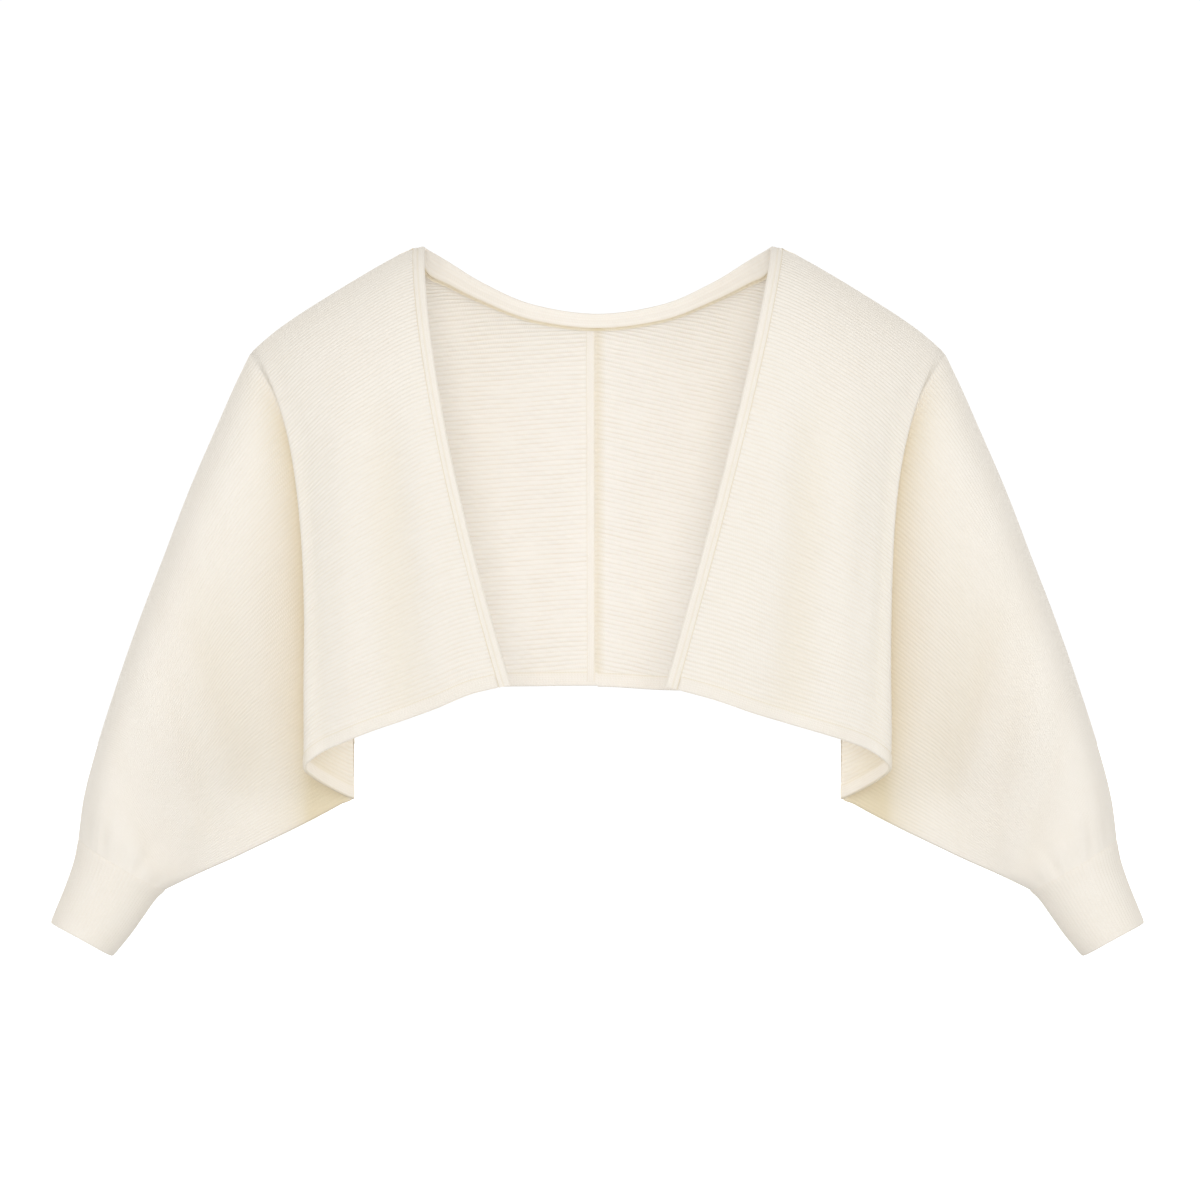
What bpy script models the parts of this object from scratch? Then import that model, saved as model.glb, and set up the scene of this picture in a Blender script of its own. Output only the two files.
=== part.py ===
"""Knitted shrug: a cropped open cardigan with batwing sleeves, filled out as on a figure.

Sizes are in millimetres until a mesh is made, and x runs outwards from the centre on both
halves; the right half (the wearer's) is then mirrored to -X. The front faces -Y and the
origin is where the neck corners are held, on the centre line, at shoulder height.
"""

from collections import namedtuple
from math import pi

import bmesh
import bpy
import numpy as np

MM = 0.001

# Walls, and the gaps between pieces that are sewn together
PANEL_WALL = 2.0
BAND_WALL = 3.2
HEM_WALL = 2.8
CUFF_WALL = 2.4
ALLOWANCE_WALL = 1.4
SEAM_GAP = 0.32
BAND_CLEARANCE = 1.1
NECK_CLEARANCE = 1.9
FOLD_CLEARANCE = 1.3

# Bands: how far they stand out of the panel beside them, and how round their free edge is
HEM_BAND = 11.5
HEM_PROUD = 0.4
BAND_PROUD = 0.6
EDGE_BEVEL = 0.3
EDGE_FLAT = 0.22

# The underarm, where the hem band turns from the front to the back
UNDERARM_NOTCH = 1.5
UNDERARM_TURN = 6.5
HEM_TURN = 3.5
HEM_TUCK = 2.1
# Half of the underarm seam's thickness, where front and back lie face to face
SEAM_LIFT = 2.3
# How far the back's seam edge hangs below the front's
BACK_DROP = 1.2

# The centre back seam's allowance, from the centre outwards and from neck to hem
ALLOWANCE_NEAR = 1.8
ALLOWANCE_FAR = 8.8
ALLOWANCE_LIFT = 0.45
ALLOWANCE_TOP = 0.012
ALLOWANCE_END = 0.985

# How the cloth leaves the shoulder: a flattened arch, (1 - (1 - v) ** ARCH_REACH) ** ARCH_TURN
ARCH_REACH = 3.0
ARCH_TURN = 0.62

# Turn a row of sizes into its twin across the centre line
ACROSS_CENTRE = np.array([-1, 1, 1, -1, 1, 1, 1, 1, 1])
ACROSS_NECK = np.array([-1, 1, 1, -1, 1, 1])

# Points down a section, along the bands, round a cuff and along it
DOWN_STEPS = 16
BAND_STEPS = 16
NECK_STEPS = 18
ALLOWANCE_STEPS = 12
CUFF_STEPS = 22
CUFF_RINGS = 7
# How far to each side the cloth is looked at to find which way it faces
NORMAL_STEP = 1.0
NORMAL_SLIP = 0.006
EVENING_PASSES = 3

KNIT = (0.922, 0.855, 0.768)
KNIT_BAND = (0.900, 0.830, 0.735)
KNIT_ROUGHNESS = 0.92

# A section runs from the shoulder line (top) down to the hem or the underarm seam (low).
# lag bends it sideways: above 0 it leaves the top late, below 0 early. swell is how far the
# arm or the shoulder blade pushes it out, rounding turns the slack teardrop of the sleeve
# into a ring, and steps is how many strips lie between it and the next section.
Section = namedtuple("Section", "name top_x top_y top_z low_x low_y low_z lag swell rounding steps")

RIGHT_FRONT_OPENING = [
    Section("front_edge", 138, 0, 0, 67.2, -114, -348.5, 0.5, 0, 0, 1),
    Section("band_seam", 147.5, 0, -1.8, 76.7, -114.3, -350.5, 0.45, 0, 0, 2),
    Section("panel_1", 165, 0, -9.5, 99, -114.5, -356, 0.30, 0, 0, 2),
    Section("panel_2", 190, 0, -23.8, 125.5, -114, -367, 0.10, 0, 0, 2),
    Section("panel_3", 215, 0, -39, 150.4, -112.5, -376, -0.25, 0, 0, 2),
    Section("panel_4", 238, 0, -53.5, 175.4, -110, -384.6, -0.9, 0, 0, 2),
]
LEFT_FRONT_OPENING = [
    Section("front_edge", 138.6, 0, 0, 52.4, -114, -349.3, 0.15, 0, 0, 1),
    Section("band_seam", 148, 0, -2, 62, -114.3, -352.2, 0.14, 0, 0, 2),
    Section("panel_1", 165, 0, -9.5, 92, -114.5, -360.5, 0.12, 0, 0, 2),
    Section("panel_2", 190, 0, -23.8, 121, -114, -370.5, 0.05, 0, 0, 2),
    Section("panel_3", 215, 0, -39, 148, -112.5, -378.6, -0.25, 0, 0, 2),
    Section("panel_4", 238, 0, -53.5, 174.5, -110, -386.4, -0.9, 0, 0, 2),
]
FRONT_FOLD = [
    Section("panel_5", 256, 0, -66, 200, -106, -394.6, -1.8, 0, 0, 2),
    Section("fold_1_near", 267, 0, -75, 217.5, -102.5, -402.5, -2.8, 0, 0, 2),
    Section("fold_1", 272, 0, -79.5, 229.6, -94, -413.5, -3.4, 4, 0, 2),
    Section("fold_1_back", 274, 0, -81.5, 225, -80, -421, -3.0, 11, 0, 2),
    Section("reverse", 275.5, 0, -83, 211, -44, -432, -2.3, 27, 0, 2),
    Section("fold_2_near", 277, 0, -85, 200.5, -13, -439.2, -2.2, 41, 0, 2),
    Section("underarm", 278.5, 0, -87, 196.9, -2.3, -441.5, -2.0, 45, 0, 1),
]
BACK_CENTRE_RIGHT = [
    Section("centre_back", 0.15, 80.5, -61.1, 0.15, 92, -352.5, 0, 6, 0, 2),
    Section("back_1", 54.5, 75.5, -54.3, 50, 93, -353, 0, 6, 0, 2),
    Section("back_2", 95, 63, -39.5, 86, 93.5, -354, 0, 5, 0, 1),
]
BACK_CENTRE_LEFT = [
    Section("centre_back", 0.15, 80.5, -61.1, 0.15, 92, -353.4, 0, 6, 0, 2),
    Section("back_1", 54.5, 75.5, -54.3, 50, 93, -356, 0, 6, 0, 2),
    Section("back_2", 95, 63, -39.5, 86, 93.5, -357, 0, 5, 0, 1),
]
BACK_FOLD = [
    Section("back_3", 122, 47, -27.3, 112, 93.5, -358.5, 0, 4, 0, 1),
    Section("back_4", 136.5, 30, -20.8, 128, 93, -362, 0, 4, 0, 1),
    Section("neck_corner", 147.5, 0, -2, 146, 92, -366, 0, 2, 0, 2),
    Section("back_5", 175, 0, -15, 168, 90, -372.5, -0.1, 1, 0, 2),
    Section("back_6", 205, 0, -33, 190, 86.5, -381, -0.4, 2, 0, 2),
    Section("back_7", 232, 0, -49.7, 208, 81, -391, -1, 4, 0, 2),
    Section("fold_1_near", 255, 0, -65.3, 221, 73, -400, -1.8, 7, 0, 2),
    Section("fold_1", 266, 0, -74.5, 227.5, 63, -408, -2.4, 12, 0, 2),
    Section("fold_1_back", 272, 0, -79.5, 222, 51, -416, -2.4, 19, 0, 2),
    Section("reverse", 275.5, 0, -83, 209, 28, -430.5, -2.1, 31, 0, 2),
    Section("fold_2_near", 277, 0, -85, 200.5, 10, -439, -2.1, 41.5, 0, 2),
    Section("underarm", 278.5, 0, -87, 196.9, 2.3, -442.5, -2.0, 45, 0, 1),
]
# The sleeve's sections, the same for front and back but for the sign of y.
SLEEVE = [
    Section("sleeve_1", 282, 0, -94, 204, 2.3, -445, -1.5, 47, 0, 2),
    Section("sleeve_2", 291, 0, -113, 214, 2.3, -450.5, -0.9, 50, 0, 2),
    Section("sleeve_3", 305, 0, -145, 230, 2.3, -459, -0.35, 51, 0, 2),
    Section("sleeve_4", 325, 0, -191, 250, 2.3, -469, 0, 50, 0, 2),
    Section("sleeve_5", 347, 0, -247.5, 272, 2.3, -479.5, 0, 48, 0, 2),
    Section("sleeve_6", 368, 0, -303, 293, 2.3, -489.5, 0, 45, 0, 2),
    Section("sleeve_7", 387, 0, -358, 312, 2.3, -498, 0, 42.5, 0.08, 2),
    Section("sleeve_8", 401.5, 0, -404, 327, 1.4, -505, 0, 40.5, 0.3, 2),
    Section("sleeve_9", 411, 0, -441, 338, 0.4, -510.5, 0, 39, 0.7, 2),
    Section("cuff_seam", 415.3, 0, -473, 346, 0.15, -514, 0, 33, 1, 1),
]

# The neck band behind the shoulders: its free edge and the line where it is sewn on.
NeckStation = namedtuple("NeckStation", "edge_x edge_y edge_z seam_x seam_y seam_z")
NECK_BAND = [
    NeckStation(138, 0, 0, 147.5, 0, -1.8),
    NeckStation(137, 12, -0.3, 143, 16.5, -9.0),
    NeckStation(133.5, 24, -2.2, 136.5, 30, -20.4),
    NeckStation(120.5, 42, -9, 122, 47, -26.9),
    NeckStation(92, 60, -25.3, 95, 63, -39.1),
    NeckStation(53, 73.5, -41.4, 54.5, 75.5, -53.9),
    NeckStation(0, 78, -48.8, 0, 80.5, -60.4),
]

# A cuff's rings, from the sleeve seam to the wrist edge; depth is half of its size in y.
CuffRing = namedtuple("CuffRing", "outer_x outer_z inner_x inner_z depth")
CUFF = [
    CuffRing(415.5, -473.5, 345.8, -514.5, 33),
    CuffRing(418.6, -490, 352.6, -522.6, 31),
    CuffRing(424.2, -507, 362.6, -536.2, 29),
    CuffRing(430.2, -522, 373.6, -550.4, 27.5),
    CuffRing(437.6, -540, 387.6, -567.4, 26.5),
]

# Soft folds that hang in a panel: a line from its upper to its lower end, in x and z.
SoftFold = namedtuple("SoftFold", "upper_x upper_z lower_x lower_z width depth")
FRONT_FOLDS = [
    SoftFold(172, -95, 150, -375, 17, -5.0),
    SoftFold(205, -110, 186, -392, 15, 3.0),
    SoftFold(150, -90, 118, -330, 14, 2.5),
    SoftFold(236, -120, 214, -400, 9, -2.0),
    SoftFold(330, -230, 262, -470, 20, -4.0),
    SoftFold(362, -320, 318, -480, 14, 3.0),
]
BACK_FOLDS = [
    SoftFold(120, -110, 104, -352, 20, -3.5),
    SoftFold(178, -95, 160, -372, 17, -5.0),
    SoftFold(212, -110, 196, -385, 13, 3.0),
    SoftFold(58, -150, 50, -352, 18, 2.0),
    SoftFold(330, -240, 258, -470, 22, -4.5),
    SoftFold(366, -330, 322, -485, 14, 3.0),
]
# Gathers where a sleeve meets its cuff: at is the place down the section, from 0 to 1.
Gather = namedtuple("Gather", "at width length depth")
FRONT_GATHERS = [
    Gather(0.12, 0.035, 30, -1.9),
    Gather(0.30, 0.040, 46, -2.6),
    Gather(0.50, 0.045, 34, -2.0),
    Gather(0.70, 0.040, 52, -2.8),
    Gather(0.88, 0.035, 36, -2.0),
]
BACK_GATHERS = [
    Gather(0.10, 0.035, 38, -2.2),
    Gather(0.27, 0.040, 30, -1.8),
    Gather(0.47, 0.045, 50, -2.8),
    Gather(0.68, 0.040, 36, -2.2),
    Gather(0.87, 0.035, 44, -2.4),
]


def clear_scene():
    """Remove every object, with nothing else of the file changed."""
    for item in list(bpy.data.objects):
        bpy.data.objects.remove(item, do_unlink=True)


def knit_material(name, colour):
    """A plain matt material of the knit's colour for one piece."""
    material = bpy.data.materials.new(name)
    material.use_nodes = True
    shader = material.node_tree.nodes["Principled BSDF"]
    shader.inputs["Base Color"].default_value = (*colour, 1)
    shader.inputs["Roughness"].default_value = KNIT_ROUGHNESS
    shader.inputs["Metallic"].default_value = 0
    return material


def smoothstep(low, high, value):
    """0 below low, 1 above high, and an S-curve between them."""
    share = np.clip((value - low) / (high - low), 0, 1)
    return share * share * (3 - 2 * share)


def spline(knots, values, at):
    """A smooth curve through the rows of values, each at its knot."""
    last = len(knots) - 2
    here = int(np.clip(np.searchsorted(knots, at, side="right") - 1, 0, last))
    slopes = []
    for row in (here, here + 1):
        before, after = max(row - 1, 0), min(row + 1, last + 1)
        slopes.append((values[after] - values[before]) / (knots[after] - knots[before]))
    width = knots[here + 1] - knots[here]
    share = (at - knots[here]) / width
    start = (1 + 2 * share) * (1 - share) ** 2 * values[here]
    end = share**2 * (3 - 2 * share) * values[here + 1]
    leave = share * (1 - share) ** 2 * width * slopes[0]
    arrive = share**2 * (share - 1) * width * slopes[1]
    return start + end + leave + arrive


class Cloth:
    """One front or back with its half of the sleeve: a surface over sections and depth."""

    def __init__(self, sections, facing, folds, gathers):
        self.names = [section.name for section in sections]
        self.rows = np.array([section[1:10] for section in sections], float)
        self.steps = [section.steps for section in sections]
        self.facing = facing
        self.folds = folds
        self.gathers = gathers
        moves = np.diff(self.rows[:, :6], axis=0)
        self.knots = np.concatenate([[0], np.cumsum(np.sqrt((moves**2).sum(axis=1)))])
        self.curve_knots, self.curve_rows = self.knots, self.rows
        if self.names[0] == "centre_back":
            beyond = self.rows[1] * ACROSS_CENTRE
            self.curve_rows = np.vstack([beyond, self.rows])
            self.curve_knots = np.concatenate([[-self.knots[1]], self.knots])

    def knot(self, name):
        """Where a named section lies along the cloth."""
        return self.knots[self.names.index(name)]

    def stations(self, first, last):
        """The places along the cloth where strips meet, between two named sections."""
        start, end = self.names.index(first), self.names.index(last)
        places = []
        for row in range(start, end):
            places.extend(
                np.linspace(self.knots[row], self.knots[row + 1], self.steps[row], endpoint=False)
            )
        return places + [self.knots[end]]

    def section(self, place):
        """The section's sizes at a place along the cloth."""
        row = spline(self.curve_knots, self.curve_rows, place)
        lowest = SEAM_LIFT - (SEAM_LIFT - SEAM_GAP / 2) * min(1, 1.5 * row[8])
        row[1] = max(row[1], 0)
        row[4] = self.facing * max(self.facing * row[4], lowest)
        return row

    def length(self, place):
        """How long the section is, top to low."""
        row = self.section(place)
        return float(np.linalg.norm(row[3:6] - row[0:3]))

    def relief(self, point, place, down):
        """How far the soft folds and the cuff's gathers lift the cloth there."""
        on_sleeve = smoothstep(self.knot("underarm"), self.knot("sleeve_1"), place)
        lift = 0.0
        for fold in self.folds:
            share = (fold.upper_z - point[2]) / (fold.upper_z - fold.lower_z)
            line = fold.upper_x + (fold.lower_x - fold.upper_x) * share
            ends = smoothstep(-0.05, 0.45, share) * (1 - smoothstep(1.0, 1.25, share))
            lift += fold.depth * ends * np.exp(-(((point[0] - line) / fold.width) ** 2))
        lift *= 1 - on_sleeve * smoothstep(0.75, 0.97, down)
        in_fold = smoothstep(self.knot("fold_1_near"), self.knot("fold_1_back"), place)
        lift *= 1 - in_fold * (1 - smoothstep(self.knot("sleeve_1"), self.knot("sleeve_2"), place))
        from_cuff = self.knots[-1] - place
        for gather in self.gathers:
            fade = max(0.0, 1 - from_cuff / gather.length)
            lift += gather.depth * fade * np.exp(-(((down - gather.at) / gather.width) ** 2))
        return lift

    def bare_point(self, place, down):
        """The outer face without its soft folds."""
        top_x, top_y, top_z, low_x, low_y, low_z, lag, swell, rounding = self.section(place)
        sway = down ** (1 + lag) if lag >= 0 else 1 - (1 - down) ** (1 - lag)
        arch = (1 - (1 - down) ** ARCH_REACH) ** ARCH_TURN
        slack = np.sin(pi * np.sqrt(down))
        ring = 2 * np.sqrt(max(down * (1 - down), 0))
        out = swell * (slack + (ring - slack) * rounding)
        return np.array(
            [
                top_x + (low_x - top_x) * sway,
                top_y + (low_y - top_y) * arch + self.facing * out,
                top_z + (low_z - top_z) * down,
            ]
        )

    def bare_normal(self, place, down):
        """The direction that faces out of the garment."""
        step, slip = NORMAL_STEP, NORMAL_SLIP
        left, right = max(place - step, 0), min(place + step, self.knots[-1])
        up, under = max(down - slip, 0), min(down + slip, 1)
        along = self.bare_point(right, down) - self.bare_point(left, down)
        fall = self.bare_point(place, under) - self.bare_point(place, up)
        normal = np.cross(along, fall) * self.facing
        return normal / np.linalg.norm(normal)

    def point(self, place, down, depth=0.0):
        """A point of the cloth, depth millimetres in from its outer face."""
        bare = self.bare_point(place, down)
        lift = self.relief(bare, place, down)
        return bare + self.bare_normal(place, down) * (lift - depth)


def facing_rows(sections, facing, drop=0.0):
    """The sleeve's rows on one face of the garment, whose seam edge may hang lower."""
    return [
        row._replace(low_y=facing * row.low_y, low_z=row.low_z - drop * (1 - row.rounding))
        for row in sections
    ]


def front_cloth(opening):
    """The front of one half."""
    return Cloth(opening + FRONT_FOLD + facing_rows(SLEEVE, -1), -1, FRONT_FOLDS, FRONT_GATHERS)


def back_cloth(centre):
    """The back of one half, whose seam edge lies a little below the front's."""
    return Cloth(centre + BACK_FOLD + facing_rows(SLEEVE, 1, BACK_DROP), 1, BACK_FOLDS, BACK_GATHERS)


def hem_start(cloth, place, spare=0.0):
    """How far down a section its hem band begins."""
    return 1 - (HEM_BAND + spare) / cloth.length(place)


def panel_downs(cloth, place):
    """Places down the panel: to the hem band, or with the last row on the sleeve's seam."""
    underarm = cloth.knot("underarm")
    in_fold = smoothstep(cloth.knot("fold_1_near") - HEM_BAND, cloth.knot("fold_1"), place)
    turning = smoothstep(underarm - HEM_BAND, underarm, place)
    spare = SEAM_GAP + FOLD_CLEARANCE * in_fold + UNDERARM_NOTCH * turning
    end = hem_start(cloth, min(place, underarm), spare)
    downs = down_shares(DOWN_STEPS) * end
    if place > underarm + UNDERARM_TURN / 2:
        downs[-1] = 1
    return downs


def evened(normals):
    """Each direction made a mean with those beside it along the cloth, for a steady wall."""
    for _ in range(EVENING_PASSES):
        beside = normals[:-2] + normals[2:]
        normals[1:-1] = (2 * normals[1:-1] + beside) / 4
    return normals / np.linalg.norm(normals, axis=2, keepdims=True)


def clear_of_line(points, gap):
    """Move the panel's upper edge back by a gap from what it is sewn to."""
    down = points[:, 1] - points[:, 0]
    points[:, 0] += down * (gap / np.linalg.norm(down, axis=1))[:, None]
    return points


def wall_faces(outer):
    """Faces of a closed wall whose outer grid comes first and its inner grid second.

    Both grids are split along the same diagonals, so that the wall keeps its thickness.
    """
    along, down = outer.shape[:2]
    inner = along * down

    def at(i, j, side):
        return side * inner + i * down + j

    faces = []
    for i in range(along - 1):
        for j in range(down - 1):
            corners = ((i, j), (i + 1, j), (i + 1, j + 1), (i, j + 1))
            falling = np.linalg.norm(outer[i, j] - outer[i + 1, j + 1])
            rising = np.linalg.norm(outer[i + 1, j] - outer[i, j + 1])
            halves = ((0, 1, 2), (0, 2, 3)) if falling < rising else ((1, 2, 3), (1, 3, 0))
            for half in halves:
                faces.append([at(*corners[k], 0) for k in half])
                faces.append([at(*corners[k], 1) for k in reversed(half)])
        for j, other in ((0, down - 1), (down - 1, 0)):
            a, b = (i, i + 1) if j < other else (i + 1, i)
            faces.append([at(a, j, 0), at(a, j, 1), at(b, j, 1), at(b, j, 0)])
    for j in range(down - 1):
        for i, other in ((0, along - 1), (along - 1, 0)):
            a, b = (j + 1, j) if i < other else (j, j + 1)
            faces.append([at(i, a, 0), at(i, a, 1), at(i, b, 1), at(i, b, 0)])
    return faces


def ribbon_faces(stations, corners, closed):
    """Quads of a closed strip with one ring of corners at each station."""
    quads = []
    for i in range(stations if closed else stations - 1):
        after = (i + 1) % stations
        for k in range(corners):
            beside = (k + 1) % corners
            quads.append(
                [i * corners + k, after * corners + k, after * corners + beside, i * corners + beside]
            )
    if not closed:
        quads.append(list(range(corners)))
        quads.append([(stations - 1) * corners + k for k in reversed(range(corners))])
    return quads


def make_object(name, points, faces, colour):
    """One named piece from points in millimetres, shaded smooth but for its rims."""
    mesh = bpy.data.meshes.new(name)
    mesh.from_pydata((np.asarray(points) * MM).tolist(), [], faces)
    shape = bmesh.new()
    shape.from_mesh(mesh)
    bmesh.ops.recalc_face_normals(shape, faces=shape.faces)
    bmesh.ops.triangulate(shape, faces=shape.faces)
    shape.to_mesh(mesh)
    shape.free()
    mesh.shade_smooth()
    mesh.set_sharp_from_angle(angle=pi / 3)
    mesh.materials.append(knit_material(name, colour))
    item = bpy.data.objects.new(name, mesh)
    bpy.context.scene.collection.objects.link(item)
    return item


def mirrored(points, side):
    """Points of a half put on its side of the garment: 1 is the wearer's left, at +X."""
    return np.asarray(points) * (side, 1, 1)


def down_shares(steps):
    """Places down a section, closer together at both ends."""
    return (1 - np.cos(pi * np.arange(steps + 1) / steps)) / 2


def panel(name, cloth, first, side):
    """A front or back with its half sleeve, as a wall with its seam edges open."""
    places = cloth.stations(first, "cuff_seam")
    places.insert(
        places.index(cloth.knot("underarm")) + 1, cloth.knot("underarm") + UNDERARM_TURN
    )
    if first == "band_seam":
        places[0] += BAND_CLEARANCE
    bare, lifts, normals = [], [], []
    for place in places:
        downs = panel_downs(cloth, place)
        bare.append([cloth.bare_point(place, down) for down in downs])
        normals.append([cloth.bare_normal(place, down) for down in downs])
        lifts.append([cloth.relief(bare[-1][i], place, down) for i, down in enumerate(downs)])
    bare, lifts, normals = np.array(bare), np.array(lifts)[:, :, None], evened(np.array(normals))
    outer, inner = bare + normals * lifts, bare + normals * (lifts - PANEL_WALL)
    half_gap = SEAM_GAP / 2
    for face in (outer, inner):
        if first == "centre_back":
            corner = cloth.names.index("neck_corner")
            on_neck = sum(cloth.steps[:corner])
            face[: on_neck + 1] = clear_of_line(face[: on_neck + 1], NECK_CLEARANCE)
        face[:, 0, 1] += cloth.facing * half_gap
    sleeve = [place >= cloth.knot("sleeve_1") - 1e-6 for place in places]
    inner[sleeve, -1, 1] = cloth.facing * half_gap
    shoulder = np.abs(outer[:, 0, 1]) < 1
    inner[shoulder, 0, 1] = cloth.facing * half_gap
    points = np.concatenate([outer.reshape(-1, 3), inner.reshape(-1, 3)])
    make_object(name, mirrored(points, side), wall_faces(outer), KNIT)


def band_ring(edge, seam, normal, wall, proud):
    """Six corners round a folded band: its free edge is rounded, its sewn edge square."""
    across = edge - seam
    width = np.linalg.norm(across)
    across = across / width
    outer, inner = proud, proud - wall
    middle = (outer + inner) / 2
    bevel, flat = wall * EDGE_BEVEL, wall * EDGE_FLAT
    return [
        seam + normal * outer,
        seam + across * (width - bevel) + normal * outer,
        seam + across * width + normal * (middle + flat),
        seam + across * width + normal * (middle - flat),
        seam + across * (width - bevel) + normal * inner,
        seam + normal * inner,
    ]


def front_band_half(cloth):
    """Rings of the front band of one half, from its hem corner up to the neck corner."""
    rings = []
    edge_place, seam_place = cloth.knot("front_edge"), cloth.knot("band_seam")
    for down in down_shares(BAND_STEPS)[::-1][:-1]:
        edge, seam = cloth.point(edge_place, down), cloth.point(seam_place, down)
        normal = cloth.bare_normal((edge_place + seam_place) / 2, down)
        rings.append(band_ring(edge, seam, normal, BAND_WALL, BAND_PROUD))
    return rings


def neck_band_half():
    """Rings from a neck corner to just before the centre back."""
    table = np.array(NECK_BAND, float)
    table = np.vstack([table, table[-2] * ACROSS_NECK])
    knots = np.arange(len(table), dtype=float)
    rings = []
    for place in np.linspace(0, knots[-2], NECK_STEPS + 1)[:-1]:
        here = spline(knots, table, place)
        ahead = spline(knots, table, place + 0.05)
        edge, seam = here[:3], here[3:]
        normal = np.cross((ahead - here)[3:], edge - seam)
        normal = normal / np.linalg.norm(normal)
        rings.append(band_ring(edge, seam, normal, BAND_WALL, BAND_PROUD))
    return rings


def front_band(name, right, left):
    """One long band: up the right front, round the back of the neck, down the left."""
    rings = [mirrored(ring, -1) for ring in front_band_half(right) + neck_band_half()]
    middle = NECK_BAND[-1]
    edge = np.array([middle.edge_x, middle.edge_y, middle.edge_z], float)
    seam = np.array([middle.seam_x, middle.seam_y, middle.seam_z], float)
    normal = np.cross((1, 0, 0), edge - seam)
    rings.append(band_ring(edge, seam, -normal / np.linalg.norm(normal), BAND_WALL, BAND_PROUD))
    left_half = front_band_half(left) + neck_band_half()
    rings.extend(mirrored(ring, 1) for ring in reversed(left_half))
    points = np.concatenate([np.asarray(ring) for ring in rings])
    make_object(name, points, ribbon_faces(len(rings), 6, False), KNIT_BAND)


def hem_ring(cloth, place):
    """The hem band's ring on one section, tucked in and stopped short of the underarm."""
    turn = cloth.knot("underarm") - HEM_TURN
    place = min(place, turn)
    start = hem_start(cloth, place)
    edge, seam = cloth.point(place, 1), cloth.point(place, start)
    normal = cloth.bare_normal(place, (1 + start) / 2)
    tuck = HEM_TUCK * smoothstep(turn - 2 * HEM_BAND, turn, place)
    return np.array(band_ring(edge, seam, normal, HEM_WALL, HEM_PROUD)) - (tuck, 0, 0)


def hem_band(name, front, back, side):
    """The hem of one half: from the front band, round the underarm, to the centre back."""
    front_places = front.stations("band_seam", "underarm")[:-1]
    front_places[0] += BAND_CLEARANCE
    back_places = back.stations("centre_back", "underarm")[:-1]
    rings = [hem_ring(front, place) for place in front_places]
    rings.extend(hem_ring(cloth, cloth.knot("underarm")) for cloth in (front, back))
    rings.extend(hem_ring(back, place) for place in reversed(back_places))
    points = np.concatenate([np.asarray(ring) for ring in rings])
    faces = ribbon_faces(len(rings), 6, False)
    make_object(name, mirrored(points, side), faces, KNIT_BAND)


def cuff(name, side):
    """A knitted tube that narrows to the wrist, open at both ends."""
    table = np.array(CUFF, float)
    knots = np.arange(len(table), dtype=float)
    angles = np.linspace(0, 2 * pi, CUFF_STEPS, endpoint=False)
    rings = {0: [], 1: []}
    for place in np.linspace(0, knots[-1], CUFF_RINGS):
        outer_x, outer_z, inner_x, inner_z, depth = spline(knots, table, place)
        outer = np.array([outer_x, 0, outer_z])
        inner = np.array([inner_x, 0, inner_z])
        middle, half = (outer + inner) / 2, (outer - inner) / 2
        reach = np.linalg.norm(half)
        for layer, cut in ((0, 0.0), (1, CUFF_WALL)):
            across = half / reach * (reach - cut)
            rings[layer].append(
                [middle + across * np.cos(a) + np.array([0, depth - cut, 0]) * np.sin(a) for a in angles]
            )
    loop = rings[0] + rings[1][::-1]
    points = np.array(loop).reshape(-1, 3)
    faces = ribbon_faces(len(loop), CUFF_STEPS, True)
    make_object(name, mirrored(points, side), faces, KNIT)


def centre_back_seam(name, cloth, side):
    """The seam's allowance, pressed to one side inside the back and over the hem band."""
    width = cloth.section(cloth.knot("back_1"))[0]
    scale = cloth.knot("back_1") / width
    rings = []
    for down in np.linspace(ALLOWANCE_TOP, ALLOWANCE_END, ALLOWANCE_STEPS):
        over_hem = smoothstep(-6, 2, (down - hem_start(cloth, 0)) * cloth.length(0))
        lie = PANEL_WALL + ALLOWANCE_LIFT + (HEM_WALL - HEM_PROUD - PANEL_WALL) * over_hem
        near, far = ALLOWANCE_NEAR * scale, ALLOWANCE_FAR * scale
        ring = [cloth.point(place, down, lie) for place in (near, far)]
        ring += [cloth.point(place, down, lie + ALLOWANCE_WALL) for place in (far, near)]
        rings.append(ring)
    points = np.concatenate([np.asarray(ring) for ring in rings])
    make_object(name, mirrored(points, side), ribbon_faces(len(rings), 4, False), KNIT_BAND)


def build():
    """Make every piece of the shrug."""
    clear_scene()
    right_front, left_front = front_cloth(RIGHT_FRONT_OPENING), front_cloth(LEFT_FRONT_OPENING)
    right_back, left_back = back_cloth(BACK_CENTRE_RIGHT), back_cloth(BACK_CENTRE_LEFT)
    panel("right_front", right_front, "band_seam", -1)
    panel("left_front", left_front, "band_seam", 1)
    panel("right_back", right_back, "centre_back", -1)
    panel("left_back", left_back, "centre_back", 1)
    front_band("front_band", right_front, left_front)
    hem_band("right_hem_band", right_front, right_back, -1)
    hem_band("left_hem_band", left_front, left_back, 1)
    cuff("right_cuff", -1)
    cuff("left_cuff", 1)
    centre_back_seam("centre_back_seam", right_back, -1)


build()
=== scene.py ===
"""Knitted shrug: the cloth, bands, cuffs and seams of a cropped batwing shrug.

Each piece is a thin knitted shell on the form of its solid. Sizes are in millimetres until a
mesh is made, and x runs outwards from the centre on both halves; the right half (the
wearer's) is then mirrored to -X. The front faces -Y.
"""

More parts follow.
